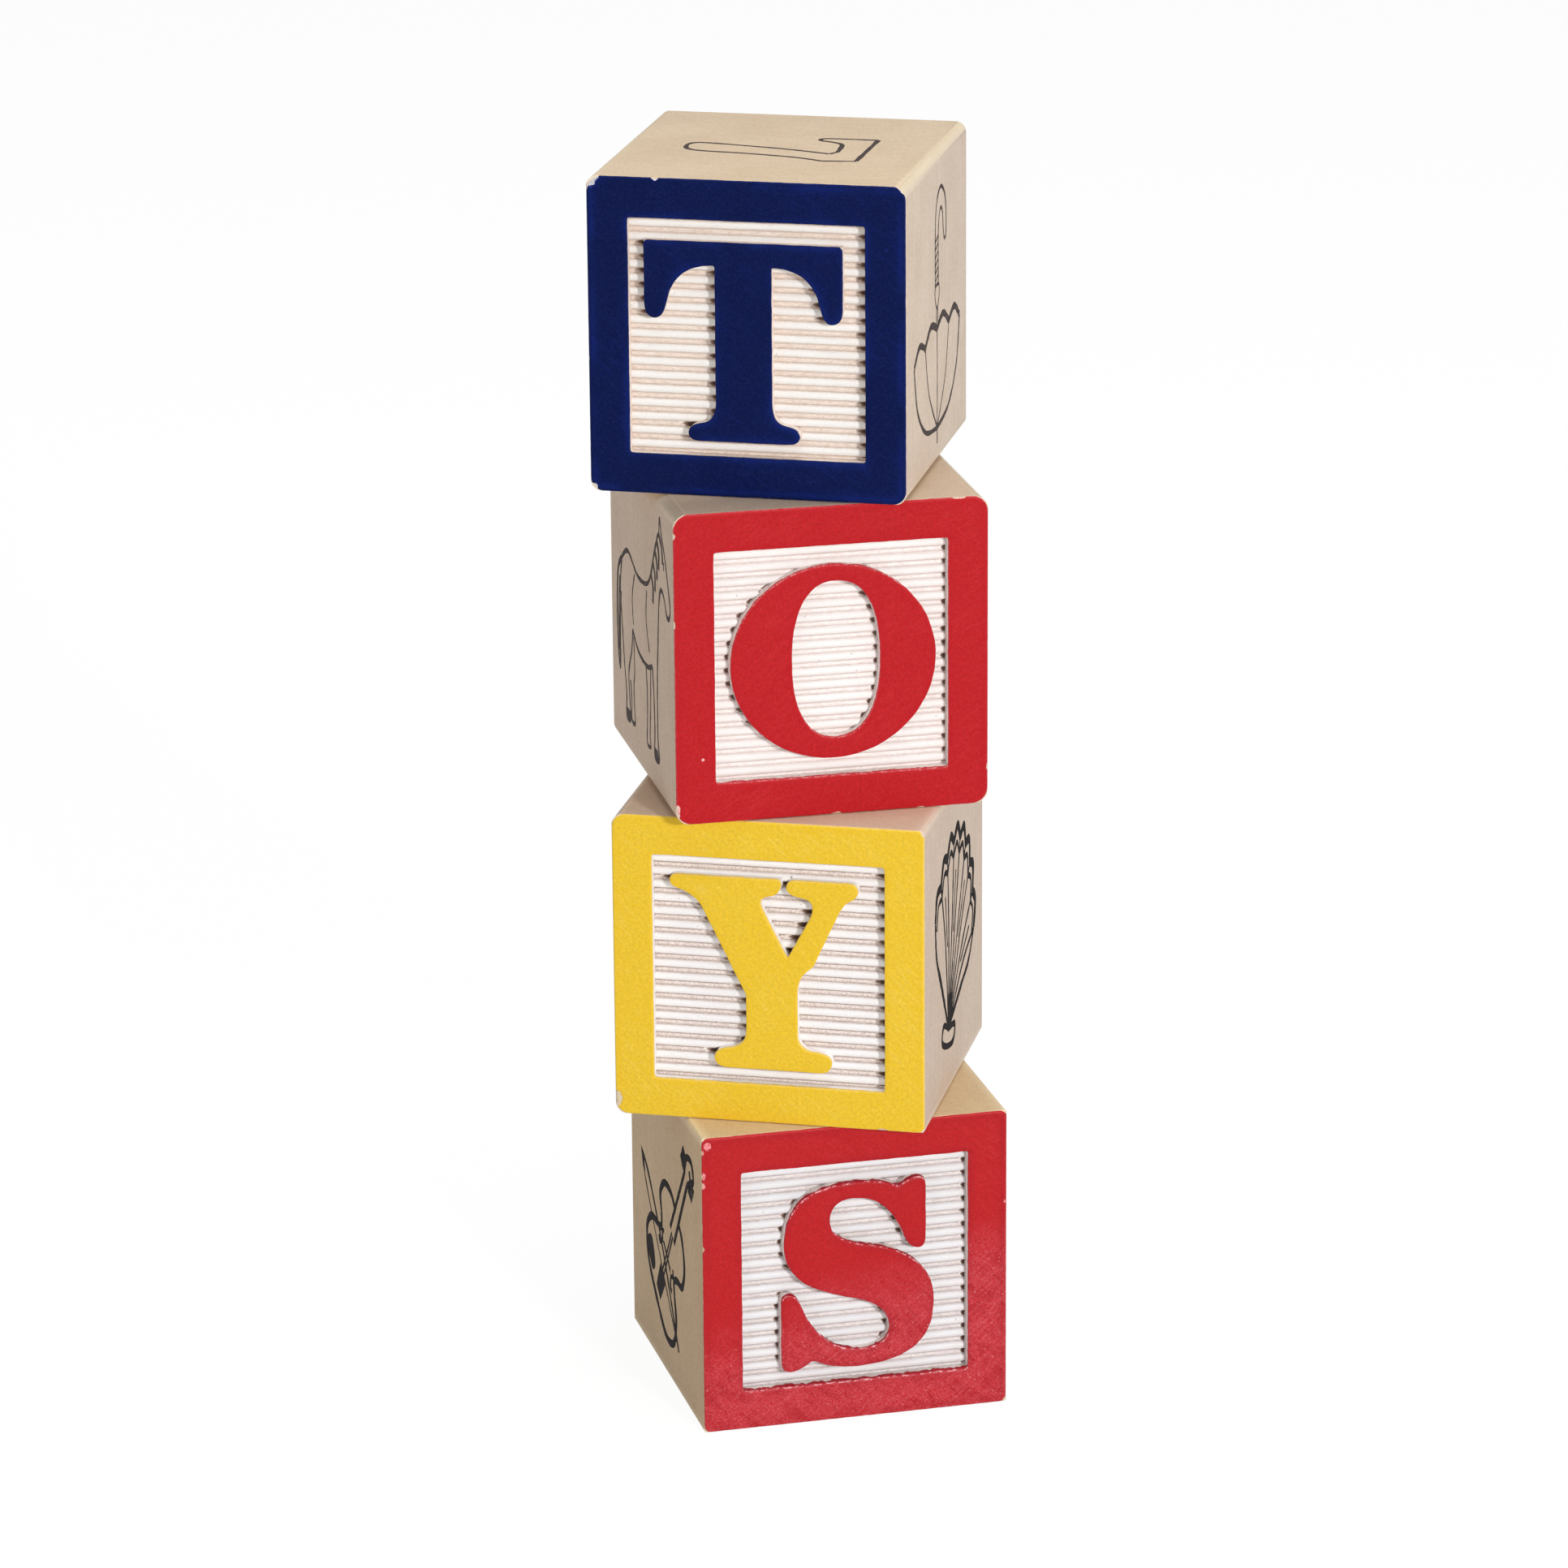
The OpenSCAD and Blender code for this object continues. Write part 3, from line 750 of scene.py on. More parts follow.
def evenly(points, step=RIM_STEP):
    """Points about a step apart on a closed line. Its corners are kept, and then softened a little."""
    ahead = np.roll(points, -1, axis=0) - points
    behind = points - np.roll(points, 1, axis=0)
    bend = np.abs(np.angle((ahead[:, 0] + 1j * ahead[:, 1]) / (behind[:, 0] + 1j * behind[:, 1])))
    corners = [i for i in range(len(points)) if bend[i] > CORNER] or [0]
    result = []
    for first, last in zip(corners, corners[1:] + [corners[0] + len(points)]):
        stretch = points[np.arange(first, last + 1) % len(points)]
        run = np.concatenate([[0], np.cumsum(np.linalg.norm(np.diff(stretch, axis=0), axis=1))])
        at = np.linspace(0, run[-1], max(1, round(run[-1] / step)) + 1)[:-1]
        result.append(np.column_stack([np.interp(at, run, stretch[:, k]) for k in (0, 1)]))
    line = np.concatenate(result)
    for softening in range(2):
        line = (np.roll(line, 1, axis=0) + 2 * line + np.roll(line, -1, axis=0)) / 4
    return line


def outward(line):
    """Unit vectors away from the paint at each point of a line."""
    along = np.roll(line, -1, axis=0) - np.roll(line, 1, axis=0)
    along /= np.linalg.norm(along, axis=1)[:, None]
    return np.column_stack([along[:, 1], -along[:, 0]])


def bumps(line, seed, size=1.0):
    """A soft noise at each point of a line, from about -1 to 1."""
    return np.array([noise.noise(Vector((u, v, seed)) * size) for u, v in line])


# %% [markdown]
# ## A coat of enamel as a mesh
#
# The coat is a thin sheet that laps over the edges of the raised wood. Each rim is a short profile
# swept along its line: it starts a little way down the wall, swells out, and rolls over onto the flat.
# A flat face with a bump in its material would look the same from far off, but its edge would stay
# straight in a close view.

# %% Profiles of the rims, as (out from the coat's line, below the painted face)
WALL_RIM = ((0.004, 0.44), (0.036, 0.36), (0.056, 0.27), (0.062, 0.19), (0.054, 0.12), (0.032, 0.064),
            (-0.006, 0.028), (-0.065, 0.008), (-0.14, 0.0))
EASE = 0.23
ROLL_STEPS = 6
LAST_ROLL = math.radians(70)
OUTER_RIM = tuple((EASE * math.sin(turn), EASE * (1 - math.cos(turn)))
                  for turn in (LAST_ROLL * (ROLL_STEPS - k) / ROLL_STEPS for k in range(ROLL_STEPS + 1)))
OUTER_RIM += ((-0.12, 0.0), (-0.25, 0.003))
print("outer rim", [tuple(round(v, 3) for v in pair) for pair in OUTER_RIM])

# %% [markdown]
# The flat inside the rims is filled with small triangles, so that the sheet itself can rise and fall
# with the roller's stipple, and sink where it is chipped. A grid of squares would fill it faster, but
# it would leave steps along every curve. Here loose points are scattered evenly, and joined to the
# rims by a triangulation that keeps the rims' own edges.

# %% Filling the flat of a coat
FILL_STEP = 0.33
ROW_SHARE = 0.87
JITTER_SHARE = 0.2
CLEAR_SHARE = 0.55


def inside(points, lines):
    """True for each point that lies on paint, by counting the lines that a ray to the right meets."""
    hits = np.zeros(len(points), int)
    for line in lines:
        for (ax, ay), (bx, by) in zip(line, np.roll(line, -1, axis=0)):
            crosses = (ay > points[:, 1]) != (by > points[:, 1])
            if crosses.any():
                at = ax + (points[crosses, 1] - ay) * (bx - ax) / (by - ay)
                hits[crosses] += points[crosses, 0] < at
    return hits % 2 == 1


def nearest(points, targets, batch=500):
    """Distance from each point to the nearest target, in batches that spare the memory."""
    result = []
    for start in range(0, len(points), batch):
        apart = points[start:start + batch, None] - targets[None]
        result.append(np.sqrt((apart ** 2).sum(axis=2).min(axis=1)))
    return np.concatenate(result)


def filling(lines, seed):
    """Inner points and triangles that fill the space between the lines."""
    random = np.random.default_rng(seed)
    rims = np.concatenate(lines)
    low, high = rims.min(axis=0), rims.max(axis=0)
    across, up = np.meshgrid(np.arange(low[0], high[0], FILL_STEP),
                             np.arange(low[1], high[1], FILL_STEP * ROW_SHARE))
    across[1::2] += FILL_STEP / 2
    points = np.column_stack([across.ravel(), up.ravel()])
    points += random.uniform(-JITTER_SHARE, JITTER_SHARE, points.shape) * FILL_STEP
    points = points[inside(points, lines)]
    points = points[nearest(points, rims) > FILL_STEP * CLEAR_SHARE]
    edges, start = [], 0
    for line in lines:
        edges += [(start + i, start + (i + 1) % len(line)) for i in range(len(line))]
        start += len(line)
    every = np.concatenate([rims, points])
    made = geometry.delaunay_2d_cdt([Vector(point) for point in every], edges, [], 1, 1e-6)
    original = [ids[0] for ids in made[3]]
    triangles = np.array([[original[i] for i in face] for face in made[2] if len(face) == 3])
    return points, triangles[inside(every[triangles].mean(axis=1), lines)]


# %% [markdown]
# Real chips sit where a block has knocked against another: at corners and along outer edges. They
# could come from a noise, but then they would sit in the wrong places. They are listed as soft round
# patches in millimetres on the face, with the block's middle line at zero across and its foot at zero
# up. The same patches sink the sheet and tell the material where the paint is off, so shape and
# colour agree.

# %% Chips, as (across, up, half width, half height)
CHIPS = {
    "t": ((-15.0, 30.0, 1.18, 1.18), (-8.5, 30.0, 0.34, 0.30), (14.85, 29.85, 0.46, 0.46),
          (-14.6, 0.45, 0.38, 0.32), (13.1, 24.0, 0.10, 0.10), (-15.0, 12.6, 0.10, 0.24)),
    "o": ((-15.0, 27.9, 0.26, 0.36), (-15.0, 19.4, 0.18, 0.36), (-14.8, 1.4, 0.24, 0.66),
          (-12.3, 6.3, 0.26, 0.03), (0.4, 0.0, 0.50, 0.26), (8.5, 0.0, 0.40, 0.16),
          (15.0, 3.6, 0.18, 0.36), (12.2, 29.95, 0.6, 0.16)),
    "y": ((-14.75, 1.6, 0.46, 0.80), (10.9, 0.0, 0.40, 0.26), (14.9, 29.7, 0.25, 0.25)),
    "s": ((-14.4, 29.2, 0.42, 0.44), (-14.85, 28.5, 0.18, 0.22), (-14.8, 26.2, 0.20, 0.40),
          (-14.85, 25.2, 0.24, 0.34), (-14.95, 18.8, 0.16, 0.24), (14.8, 20.7, 0.16, 0.18),
          (14.9, 0.2, 0.26, 0.26)),
}
BACK_CHIPS = ((-14.7, 29.4, 0.60, 0.50), (14.7, 0.8, 0.60, 0.70), (3.0, 29.95, 0.50, 0.25),
              (15.0, 17.0, 0.25, 0.6))
CHIP_LIMIT = 2
CHIP_BORDER = 1.35
print("chips:", {key: len(chips) for key, chips in CHIPS.items()})


def chip_distances(points, chips):
    """For each chip, how many of its own half sizes each point is away from its middle."""
    return [np.hypot((points[:, 0] - across) / half_width, (points[:, 1] - up) / half_height)
            for across, up, half_width, half_height in chips]


def chip_levels(points, chips):
    """How far the paint is off at each point: 1 in the middle of a chip, 0 outside all of them."""
    level = np.zeros(len(points))
    for away in chip_distances(points, chips):
        for i in np.flatnonzero(away < CHIP_LIMIT):
            place = Vector((points[i, 0], points[i, 1], 0))
            away[i] += 0.30 * noise.noise(place * 2.7) + 0.14 * noise.noise(place * 8.3)
        level = np.maximum(level, np.clip(CHIP_BORDER - away, 0, 1))
    return level


# %% [markdown]
# No rim is quite straight: the roller wandered, and where it pushed too much paint over an edge, the
# paint ran down the wall in lumps. Both could be drawn into the outline by hand. A noise along the line
# does it for all sixteen coats, and each block has its own amount of both.

# %% Rims that wander and run
WANDER = {"s": 0.045, "y": 0.030, "o": 0.035, "t": 0.030}
SPILL = {"s": 0.34, "y": 0.08, "o": 0.16, "t": 0.0}
INWARD_LIMIT = -0.4


def wandered(line, normals, reach, seed, inwards):
    """The line with a slow wander and a fine one added, along its normals."""
    sway = bumps(line * 0.55, seed) + 0.45 * bumps(line * 2.4, seed)
    sway = -np.abs(sway) if inwards else np.maximum(sway, INWARD_LIMIT)
    return line + normals * (sway * reach)[:, None]


def spilled(line, normals, seed, amount):
    """How far the paint has run down the wall: only where the wall faces up, and in lumps."""
    lumps = 0.75 + 0.8 * bumps(line, seed, 0.9) + 0.7 * bumps(line, seed, 2.6)
    return amount * np.clip(normals[:, 1], 0, 1) * np.clip(lumps, 0.1, 1.6)


# %% [markdown]
# The corners of a coat are laid out ring by ring, from the foot of each rim up to the flat. Then the
# flat's own points follow. Two rows of points are joined by a strip of quads, and so is the last ring
# of each rim with the border of the flat.

# %% The sheet of a coat
FULL_SPILL = 0.2
SPILL_SWELL = 0.3


def strip(first, second, count, closed=True):
    """Quads between two rows of points, each row given by the number of its first point."""
    pairs = [(i, (i + 1) % count) for i in range(count if closed else count - 1)]
    return [(first + i, first + j, second + j, second + i) for i, j in pairs]


def sheet(block, seed, lines, profiles):
    """The corners and faces of a coat, and the points where its rims meet the flat."""
    rows, faces, flats, joins, start = [], [], [], [], 0
    for line, profile in zip(lines, profiles):
        outer = profile is OUTER_RIM
        line = evenly(line)
        normals = outward(line)
        line = wandered(line, normals, WANDER[block.key], seed, outer)
        spill = spilled(line, normals, seed, 0 if outer else SPILL[block.key])
        for out, deep in profile[:-1]:
            share = min(1, deep / FULL_SPILL)
            ring = line + normals * (out + SPILL_SWELL * share * spill)[:, None]
            rows.append(np.column_stack([ring[:, 0], deep + share * spill - PAINTED_Y, ring[:, 1]]))
        flats.append(line + normals * profile[-1][0])
        count = len(line)
        for ring in range(len(profile) - 2):
            faces += strip(start, start + count, count)
            start += count
        joins.append((start, count))
        start += count
    points, triangles = filling(flats, int(seed) + 1)
    flat = np.concatenate(flats + [points])
    rows.append(np.column_stack([flat[:, 0], np.full(len(flat), -PAINTED_Y), flat[:, 1]]))
    on_flat = start
    for last_ring, count in joins:
        faces += strip(last_ring, on_flat, count)
        on_flat += count
    faces += [tuple(int(i) + start for i in face) for face in triangles]
    return np.concatenate(rows), faces, np.concatenate(flats)


# %% [markdown]
# Where a coat is chipped, its triangles are cut finer first, because a chip is only a few of them wide.
# Then each point of the sheet is moved a little along its normal, up and down with the stipple, and
# down into a chip. The material could fake that, but a chip at an edge shows in the outline too.

# %% A coat from its sheet
CHIP_REACH = 2.4
CHIP_CUTS = 3
CHIP_SINK = 0.075
SINK_FROM = 0.15
SINK_STEEPNESS = 2.5
STIPPLE_HEIGHT = 0.007
STIPPLE_SIZE = 1.6
RIM_FADE = 0.28


def coat(name, block, side, lines, profiles, chips):
    """A sheet of enamel between closed lines, finer where it is chipped, and rough to the touch."""
    seed = block.seed * 10 + SIDES[side] / 90
    corners, faces, flats = sheet(block, seed, lines, profiles)
    mesh = mesh_of(name, corners.tolist(), faces)
    with opened(mesh) as solid:
        bmesh.ops.recalc_face_normals(solid, faces=solid.faces)
        if sum(face.normal.y * face.calc_area() for face in solid.faces) > 0:
            bmesh.ops.reverse_faces(solid, faces=solid.faces)
        chip_near = np.min(chip_distances(corners[:, [0, 2]], chips), axis=0) < CHIP_REACH
        knocked = [edge for edge in solid.edges if all(chip_near[vert.index] for vert in edge.verts)]
        bmesh.ops.subdivide_edges(solid, edges=knocked, cuts=CHIP_CUTS, use_grid_fill=True)
        bmesh.ops.triangulate(solid, faces=[face for face in solid.faces if len(face.verts) > 4])
        solid.normal_update()
        places = np.array([(vert.co.x, vert.co.z) for vert in solid.verts])
        bare = chip_levels(places, chips)
        for vert, off in zip(solid.verts, bare):
            rise = (noise.noise(vert.co * STIPPLE_SIZE + Vector((0, seed, 0))) - 1) * STIPPLE_HEIGHT
            sink = CHIP_SINK * min(1, max(0, (off - SINK_FROM) * SINK_STEEPNESS))
            vert.co += vert.normal * (rise - sink)
        solid.transform(block.face(side))
        for face in solid.faces:
            face.smooth = True
    mark(mesh, "rim", np.exp(-nearest(places, flats) / RIM_FADE))
    mark(mesh, "bare", bare)
    mesh.materials.append(ENAMELS[block.key])
    return put(name, mesh)


def paint_face(block, side):
    chips = CHIPS[block.key] if side == "front" else BACK_CHIPS
    for part in ("frame", "letter"):
        node = f"{block.key}_{side}_{part}_enamel"
        lines = rim_lines(block, side, part)
        profiles = [WALL_RIM] * len(lines)
        if part == "frame":
            profiles[0] = OUTER_RIM
        thing = coat(f"{node}_coat", block, side, lines, profiles, chips)
        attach(thing, block.body)
        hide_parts(node)


for block in blocks.values():
    for side in SIDES:
        paint_face(block, side)

# %% [markdown]
# ## Ribs in white, with Geometry Nodes
#
# Seventeen equal ribs cross each ground, and a letter interrupts them. They could be drawn one by one,
# but equal things in a row are what Geometry Nodes are for. Each size is an input of the tree, so the
# same tree serves all eight faces. Its result is turned into a plain mesh at once, so that nothing in
# the finished scene depends on it.

# %% Tree helpers
class Tree(Graph):
    """A Geometry Nodes tree with a named input for each size."""

    def __init__(self, name, inputs):
        super().__init__(bpy.data.node_groups.new(name, "GeometryNodeTree"))
        self.ids = {}
        for title, kind in {"Geometry": "Geometry", **inputs}.items():
            made = self.tree.interface.new_socket(title, in_out="INPUT", socket_type=f"NodeSocket{kind}")
            self.ids[title] = made.identifier
        self.tree.interface.new_socket("Geometry", in_out="OUTPUT", socket_type="NodeSocketGeometry")
        self.given = self.wires("NodeGroupInput")

    def close(self, shape, material):
        """The end of the tree: instances made real, their material, and the way out."""
        real = self.add("GeometryNodeRealizeInstances", {"Geometry": shape})
        coated = self.add("GeometryNodeSetMaterial", {"Geometry": real, "Material": material})
        self.node("NodeGroupOutput", {"Geometry": coated})
        print(self.tree.name, "tree:", len(self.tree.nodes), "nodes")


def grown(name, tree, start, values, place):
    """Runs a tree on a start object, and returns its result as a plain mesh object in its place."""
    modifier = start.modifiers.new("grow", "NODES")
    modifier.node_group = tree.tree
    for title, value in values.items():
        modifier[tree.ids[title]] = value
    start.update_tag()
    graph = bpy.context.evaluated_depsgraph_get()
    mesh = bpy.data.meshes.new_from_object(start.evaluated_get(graph))
    start.modifiers.remove(modifier)
    bpy.data.objects.remove(start)
    mesh.name = name
    finish = [material for material in mesh.materials if material][0]
    mesh.materials.clear()
    mesh.materials.append(finish)
    mesh.polygons.foreach_set("material_index", [0] * len(mesh.polygons))
    mesh.transform(place)
    if place.determinant() < 0:
        mesh.flip_normals()
    return put(name, mesh)


# %% [markdown]
# The white on one rib is a crescent in section: thick on the crest, and thin towards the rib's foot. The
# tree bends a circle of points into that crescent, sweeps it along a line, and copies the bar up the
# ground at the ribs' pitch. A noise ripples all the bars, as a hand roller does, and the letter is cut
# out of them as a solid.

# %% The rib tree
PROFILE_POINTS = 26
THIN_END = 0.12
rib_tree = Tree("rib_coat", {
    "Count": "Int", "Pitch": "Float", "First height": "Float", "Depth": "Float",
    "Left end": "Float", "Right end": "Float", "Outer radius": "Float", "Inner radius": "Float",
    "Half arc": "Float", "Steps": "Int", "Ripple": "Float", "Ripple size": "Float",
    "Seed": "Float", "Letter": "Object", "Coat": "Material"})
add, maths, vector, given = rib_tree.add, rib_tree.maths, rib_tree.vector, rib_tree.given

half_points = PROFILE_POINTS // 2
index = add("GeometryNodeInputIndex")
on_inner = maths("GREATER_THAN", index, half_points - 0.5)
share = (index - on_inner * half_points) / ((half_points - 1) / 2) - 1.0
angle = share * (1.0 - on_inner * 2.0) * given["Half arc"]
taper = maths("COSINE", share * (math.pi / 2)) * (1 - THIN_END) + THIN_END
thicker = (given["Outer radius"] - given["Inner radius"]) * taper
radius = given["Inner radius"] + thicker * (1.0 - on_inner)
bar_point = vector(radius * maths("COSINE", angle), radius * maths("SINE", angle))
ring = add("GeometryNodeCurvePrimitiveCircle", {"Resolution": PROFILE_POINTS, "Radius": 1.0})
crescent = add("GeometryNodeSetPosition", {"Geometry": ring, "Position": bar_point})

run = add("GeometryNodeCurvePrimitiveLine", {
    "Start": vector(given["Left end"]), "End": vector(given["Right end"])})
run = add("GeometryNodeResampleCurve", {"Curve": run, "Count": given["Steps"]})
bar = add("GeometryNodeCurveToMesh", {"Curve": run, "Profile Curve": crescent, "Fill Caps": True})
ladder = add("GeometryNodeMeshLine", {
    "Count": given["Count"], "Start Location": vector(0.0, given["Depth"], given["First height"]),
    "Offset": vector(0.0, 0.0, given["Pitch"])})
bars = add("GeometryNodeInstanceOnPoints", {"Points": ladder, "Instance": bar})
bars = add("GeometryNodeRealizeInstances", {"Geometry": bars})

moved = rib_tree.vectors("ADD", add("GeometryNodeInputPosition"), vector(given["Seed"], 0.0, given["Seed"]))
swell = add("ShaderNodeTexNoise", {"Vector": moved, "Scale": given["Ripple size"], "Detail": 3.0}, "Color")
ripple = vector(0.0, given["Ripple"], given["Ripple"] * 1.6)
offset = rib_tree.vectors("MULTIPLY", rib_tree.vectors("SUBTRACT", swell, (0.5, 0.5, 0.5)), ripple)
rippled = add("GeometryNodeSetPosition", {"Geometry": bars, "Offset": offset})
letter = add("GeometryNodeObjectInfo", {"Object": given["Letter"]}, "Geometry")
cut = add("GeometryNodeMeshBoolean", {"Mesh 1": rippled, "Mesh 2": letter},
          operation="DIFFERENCE", solver="MANIFOLD")
rib_tree.close(cut, given["Coat"])

# %% [markdown]
# The white roller ran from left to right and lifted a little before each wall, so the last strip at the
# left foot of every raised form stayed bare. The cutting solid is therefore the letter's outline, grown
# towards the left only. It is made of the outline's lines, a triangulated cap at each end, and a wall
# between the two. The strip's brown is painted shadow, laid on by the film that follows and by the ribs'
# own material.

# %% The solid that cuts the ribs
PRISM_BACK = 12.0
PRISM_FRONT = 16.0
BARE_END = 0.10


def grown_left(line, reach, seed):
    """The line pushed outwards where it faces left, by a width that wavers."""
    normals = outward(line)
    waver = 1 + 0.5 * bumps(line, seed, 1.3)
    return line + normals * (reach * np.clip(-normals[:, 0], 0, 1) * waver)[:, None]


def cutting_solid(lines, seed):
    """The space between closed lines, as a solid that reaches through the ribs."""
    lines = [grown_left(line, BARE_END, seed) for line in lines]
    points, triangles = filling(lines, 1)
    flat = np.concatenate(lines + [points])
    corners = [(u, depth, v) for depth in (-PRISM_FRONT, -PRISM_BACK) for u, v in flat]
    faces = [tuple(int(i) for i in face) for face in triangles]
    faces += [tuple(i + len(flat) for i in face[::-1]) for face in faces]
    start = 0
    for line in lines:
        faces += strip(start + len(flat), start, len(line))
        start += len(line)
    mesh = mesh_of("prism", corners, faces)
    with opened(mesh) as solid:
        bmesh.ops.recalc_face_normals(solid, faces=solid.faces)
    return put("prism", mesh)


# %% [markdown]
# The bare strip's painted shadow is a film on the ground, dark at the wall and fading out. It could be
# painted by the wood's material, but that would need the distance to the nearest wall. A film that is
# grown from the same line as the cut carries that distance in its own mesh, and never strays from the
# wall.

# %% Materials of the painted shadow film
SHADOW_FILM_TONES = {"t": (68, 50, 40), "y": (68, 50, 40), "o": (104, 84, 76), "s": (92, 72, 64)}


def shadow_film_recipe(block):
    made = Recipe(f"seam_{block.key}")
    here = made.on_block(block)
    rough = made.grain(here, (0.35, 0.4, 0.3), 5, 0.7)
    off_middle = abs(made.rib_row(made.axes(here)[2]) - 0.53)
    deep = made.marked("near") - off_middle * 1.6 + (rough - 0.5) * 0.5
    light, dark, foot = CUTS[block.key].valley
    colour = made.blend(made.ramp(rough, 0.38, 0.66), light, dark)
    # Painted shadow: darkest at the wall and in the middle of each valley.
    colour = made.blend(made.ramp(deep, 0.05, 0.35), colour, (148, 120, 104))
    colour = made.blend(made.ramp(deep, 0.25, 0.62), colour, SHADOW_FILM_TONES[block.key])
    return made.finish(Base_Color=colour, Roughness=0.75, Specular_IOR_Level=0.2)


SHADOW_FILMS = {key: shadow_film_recipe(block) for key, block in blocks.items()}
print("shadow_films:", [material.name for material in SHADOW_FILMS.values()])

# %% The painted shadow film
SHADOW_FILM_WIDTHS = {"t": 1.25, "y": 1.25, "o": 0.50, "s": 0.55}
SHADOW_FILM_LIFT = 0.012
SHADOW_FILM_SHARES = (0.0, 0.4, 1.0)
SHADOW_FILM_FROM = 0.45
SHADOW_FILM_STEEPNESS = 2.5
THINNEST_SHADOW_FILM = 0.03
FRAME_WALL_UP = np.arange(MIDDLE_UP + GROUND_HALF, MIDDLE_UP - GROUND_HALF, -RIM_STEP)
FRAME_WALL = np.array([(GROUND_HALF, up) for up in FRAME_WALL_UP])


def shadow_film(block, side, lines):
    """Painted shadow: a thin brown film on the ground at the foot of the walls that face left."""
    corners, faces, near = [], [], []
    runs = [(line, outward(line), True) for line in lines]
    runs.append((FRAME_WALL, np.tile((-1.0, 0.0), (len(FRAME_WALL), 1)), False))
    for line, normals, closed in runs:
        width = SHADOW_FILM_WIDTHS[block.key] * np.clip((-normals[:, 0] - SHADOW_FILM_FROM) * SHADOW_FILM_STEEPNESS, 0, 1)
        width *= 1 + 0.5 * bumps(line, block.seed, 1.7)
        start, count = len(corners), len(line)
        for share in SHADOW_FILM_SHARES:
            ring = line + normals * (width * share)[:, None]
            corners += [(u, -GROUND_Y - SHADOW_FILM_LIFT * (1 - share * 0.8), v) for u, v in ring]
            near += [1 - share] * count
        wide = np.maximum(width, np.roll(width, -1)) >= THINNEST_SHADOW_FILM
        for row in (start, start + count):
            faces += [quad for quad, kept in zip(strip(row, row + count, count, closed), wide) if kept]
    mesh = mesh_of(f"{block.key}_{side}_seam", corners, faces)
    mark(mesh, "near", near)
    with opened(mesh) as solid:
        bmesh.ops.reverse_faces(solid, faces=[face for face in solid.faces if face.normal.y > 0])
        loose = [vert for vert in solid.verts if not vert.link_faces]
        bmesh.ops.delete(solid, geom=loose, context="VERTS")
        solid.transform(block.face(side))
    mesh.materials.append(SHADOW_FILMS[block.key])
    thing = put(mesh.name, mesh)
    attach(thing, block.body)


# %% [markdown]
# The last half millimetre of each rib is darkened too, by a painted shadow of the wall on its right.
# Its material has to know how far the next wall is to the right. A material can't measure that, so it
# is measured here and written on the ribs' mesh, one narrow band of the ground after another.

# %% Ribs that know their ends
END_REACH = {"t": 0.50, "y": 0.50, "o": 0.20, "s": 0.20}
WALL_BAND = 0.16
WALL_SLACK = 0.05
NO_WALL = 99.0
SHARP = math.radians(35)


def mark_ends(mesh, place, walls, reach):
    """Writes how near each point of the rib coat is to the wall on its right, as 'near'."""
    turn = np.array(place.inverted())
    local = corners_of(mesh) @ turn[:3, :3].T + turn[:3, 3]
    near = np.zeros(len(local))
    bands = np.round(local[:, 2] / WALL_BAND)
    for band in np.unique(bands):
        mine = np.flatnonzero(bands == band)
        across = np.sort(walls[np.abs(walls[:, 1] - band * WALL_BAND) < WALL_BAND, 0])
        if len(across):
            at = np.searchsorted(across, local[mine, 0] - WALL_SLACK)
            gap = np.append(across, NO_WALL)[at] - local[mine, 0]
            near[mine] = np.exp(-np.maximum(gap, 0) / reach)
    mark(mesh, "near", near)


def soften(mesh):
    """Smooth shading, except across sharp edges."""
    with opened(mesh) as solid:
        for face in solid.faces:
            face.smooth = True
        for edge in solid.edges:
            edge.smooth = len(edge.link_faces) == 2 and edge.calc_face_angle(math.pi) < SHARP


# %% [markdown]
# Now all of it comes together on each lettered face: the outline of the letter gives the painted shadow
# film, the cutting solid and the walls, and the tree grows the ribs' white between them.

# %% The eight white coats
RIBS = 17
RIB_STEPS = 110
RIB_RADIUS = 0.43
COAT_THICKNESS = 0.06
COAT_ROOT = 0.035
HALF_ARC = math.radians(84)
END_GAP = 0.01
RIPPLE = 0.075
RIPPLE_SIZE = 1.4


def whiten_ribs(block, side):
    node = f"{block.key}_{side}_rib_white"
    lines = [evenly(line) for line in rim_lines(block, side, "letter")]
    shadow_film(block, side, lines)
    prism = cutting_solid(lines, block.seed)
    values = {
        "Count": RIBS, "Pitch": RIB_PITCH, "First height": FIRST_RIB, "Depth": -GROUND_Y,
        "Left end": END_GAP - GROUND_HALF, "Right end": GROUND_HALF - BARE_END,
        "Outer radius": RIB_RADIUS + COAT_THICKNESS * 0.8, "Inner radius": RIB_RADIUS - COAT_ROOT,
        "Half arc": HALF_ARC, "Steps": RIB_STEPS, "Ripple": RIPPLE, "Ripple size": RIPPLE_SIZE,
        "Seed": float(block.seed * 31 + SIDES[side]), "Letter": prism, "Coat": COATS[block.key]}
    start = put("start", bpy.data.meshes.new("start"))
    thing = grown(f"{node}_ribs", rib_tree, start, values, block.face(side))
    bpy.data.objects.remove(prism)
    soften(thing.data)
    leftward = [line[outward(line)[:, 0] < -0.5] for line in lines]
    mark_ends(thing.data, block.face(side), np.concatenate(leftward + [FRAME_WALL]), END_REACH[block.key])
    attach(thing, block.body)
    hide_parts(node)
    return thing


for block in blocks.values():
    for side in SIDES:
        made = whiten_ribs(block, side)
        print(made.name, "faces", len(made.data.polygons), made.data.materials[0].name)

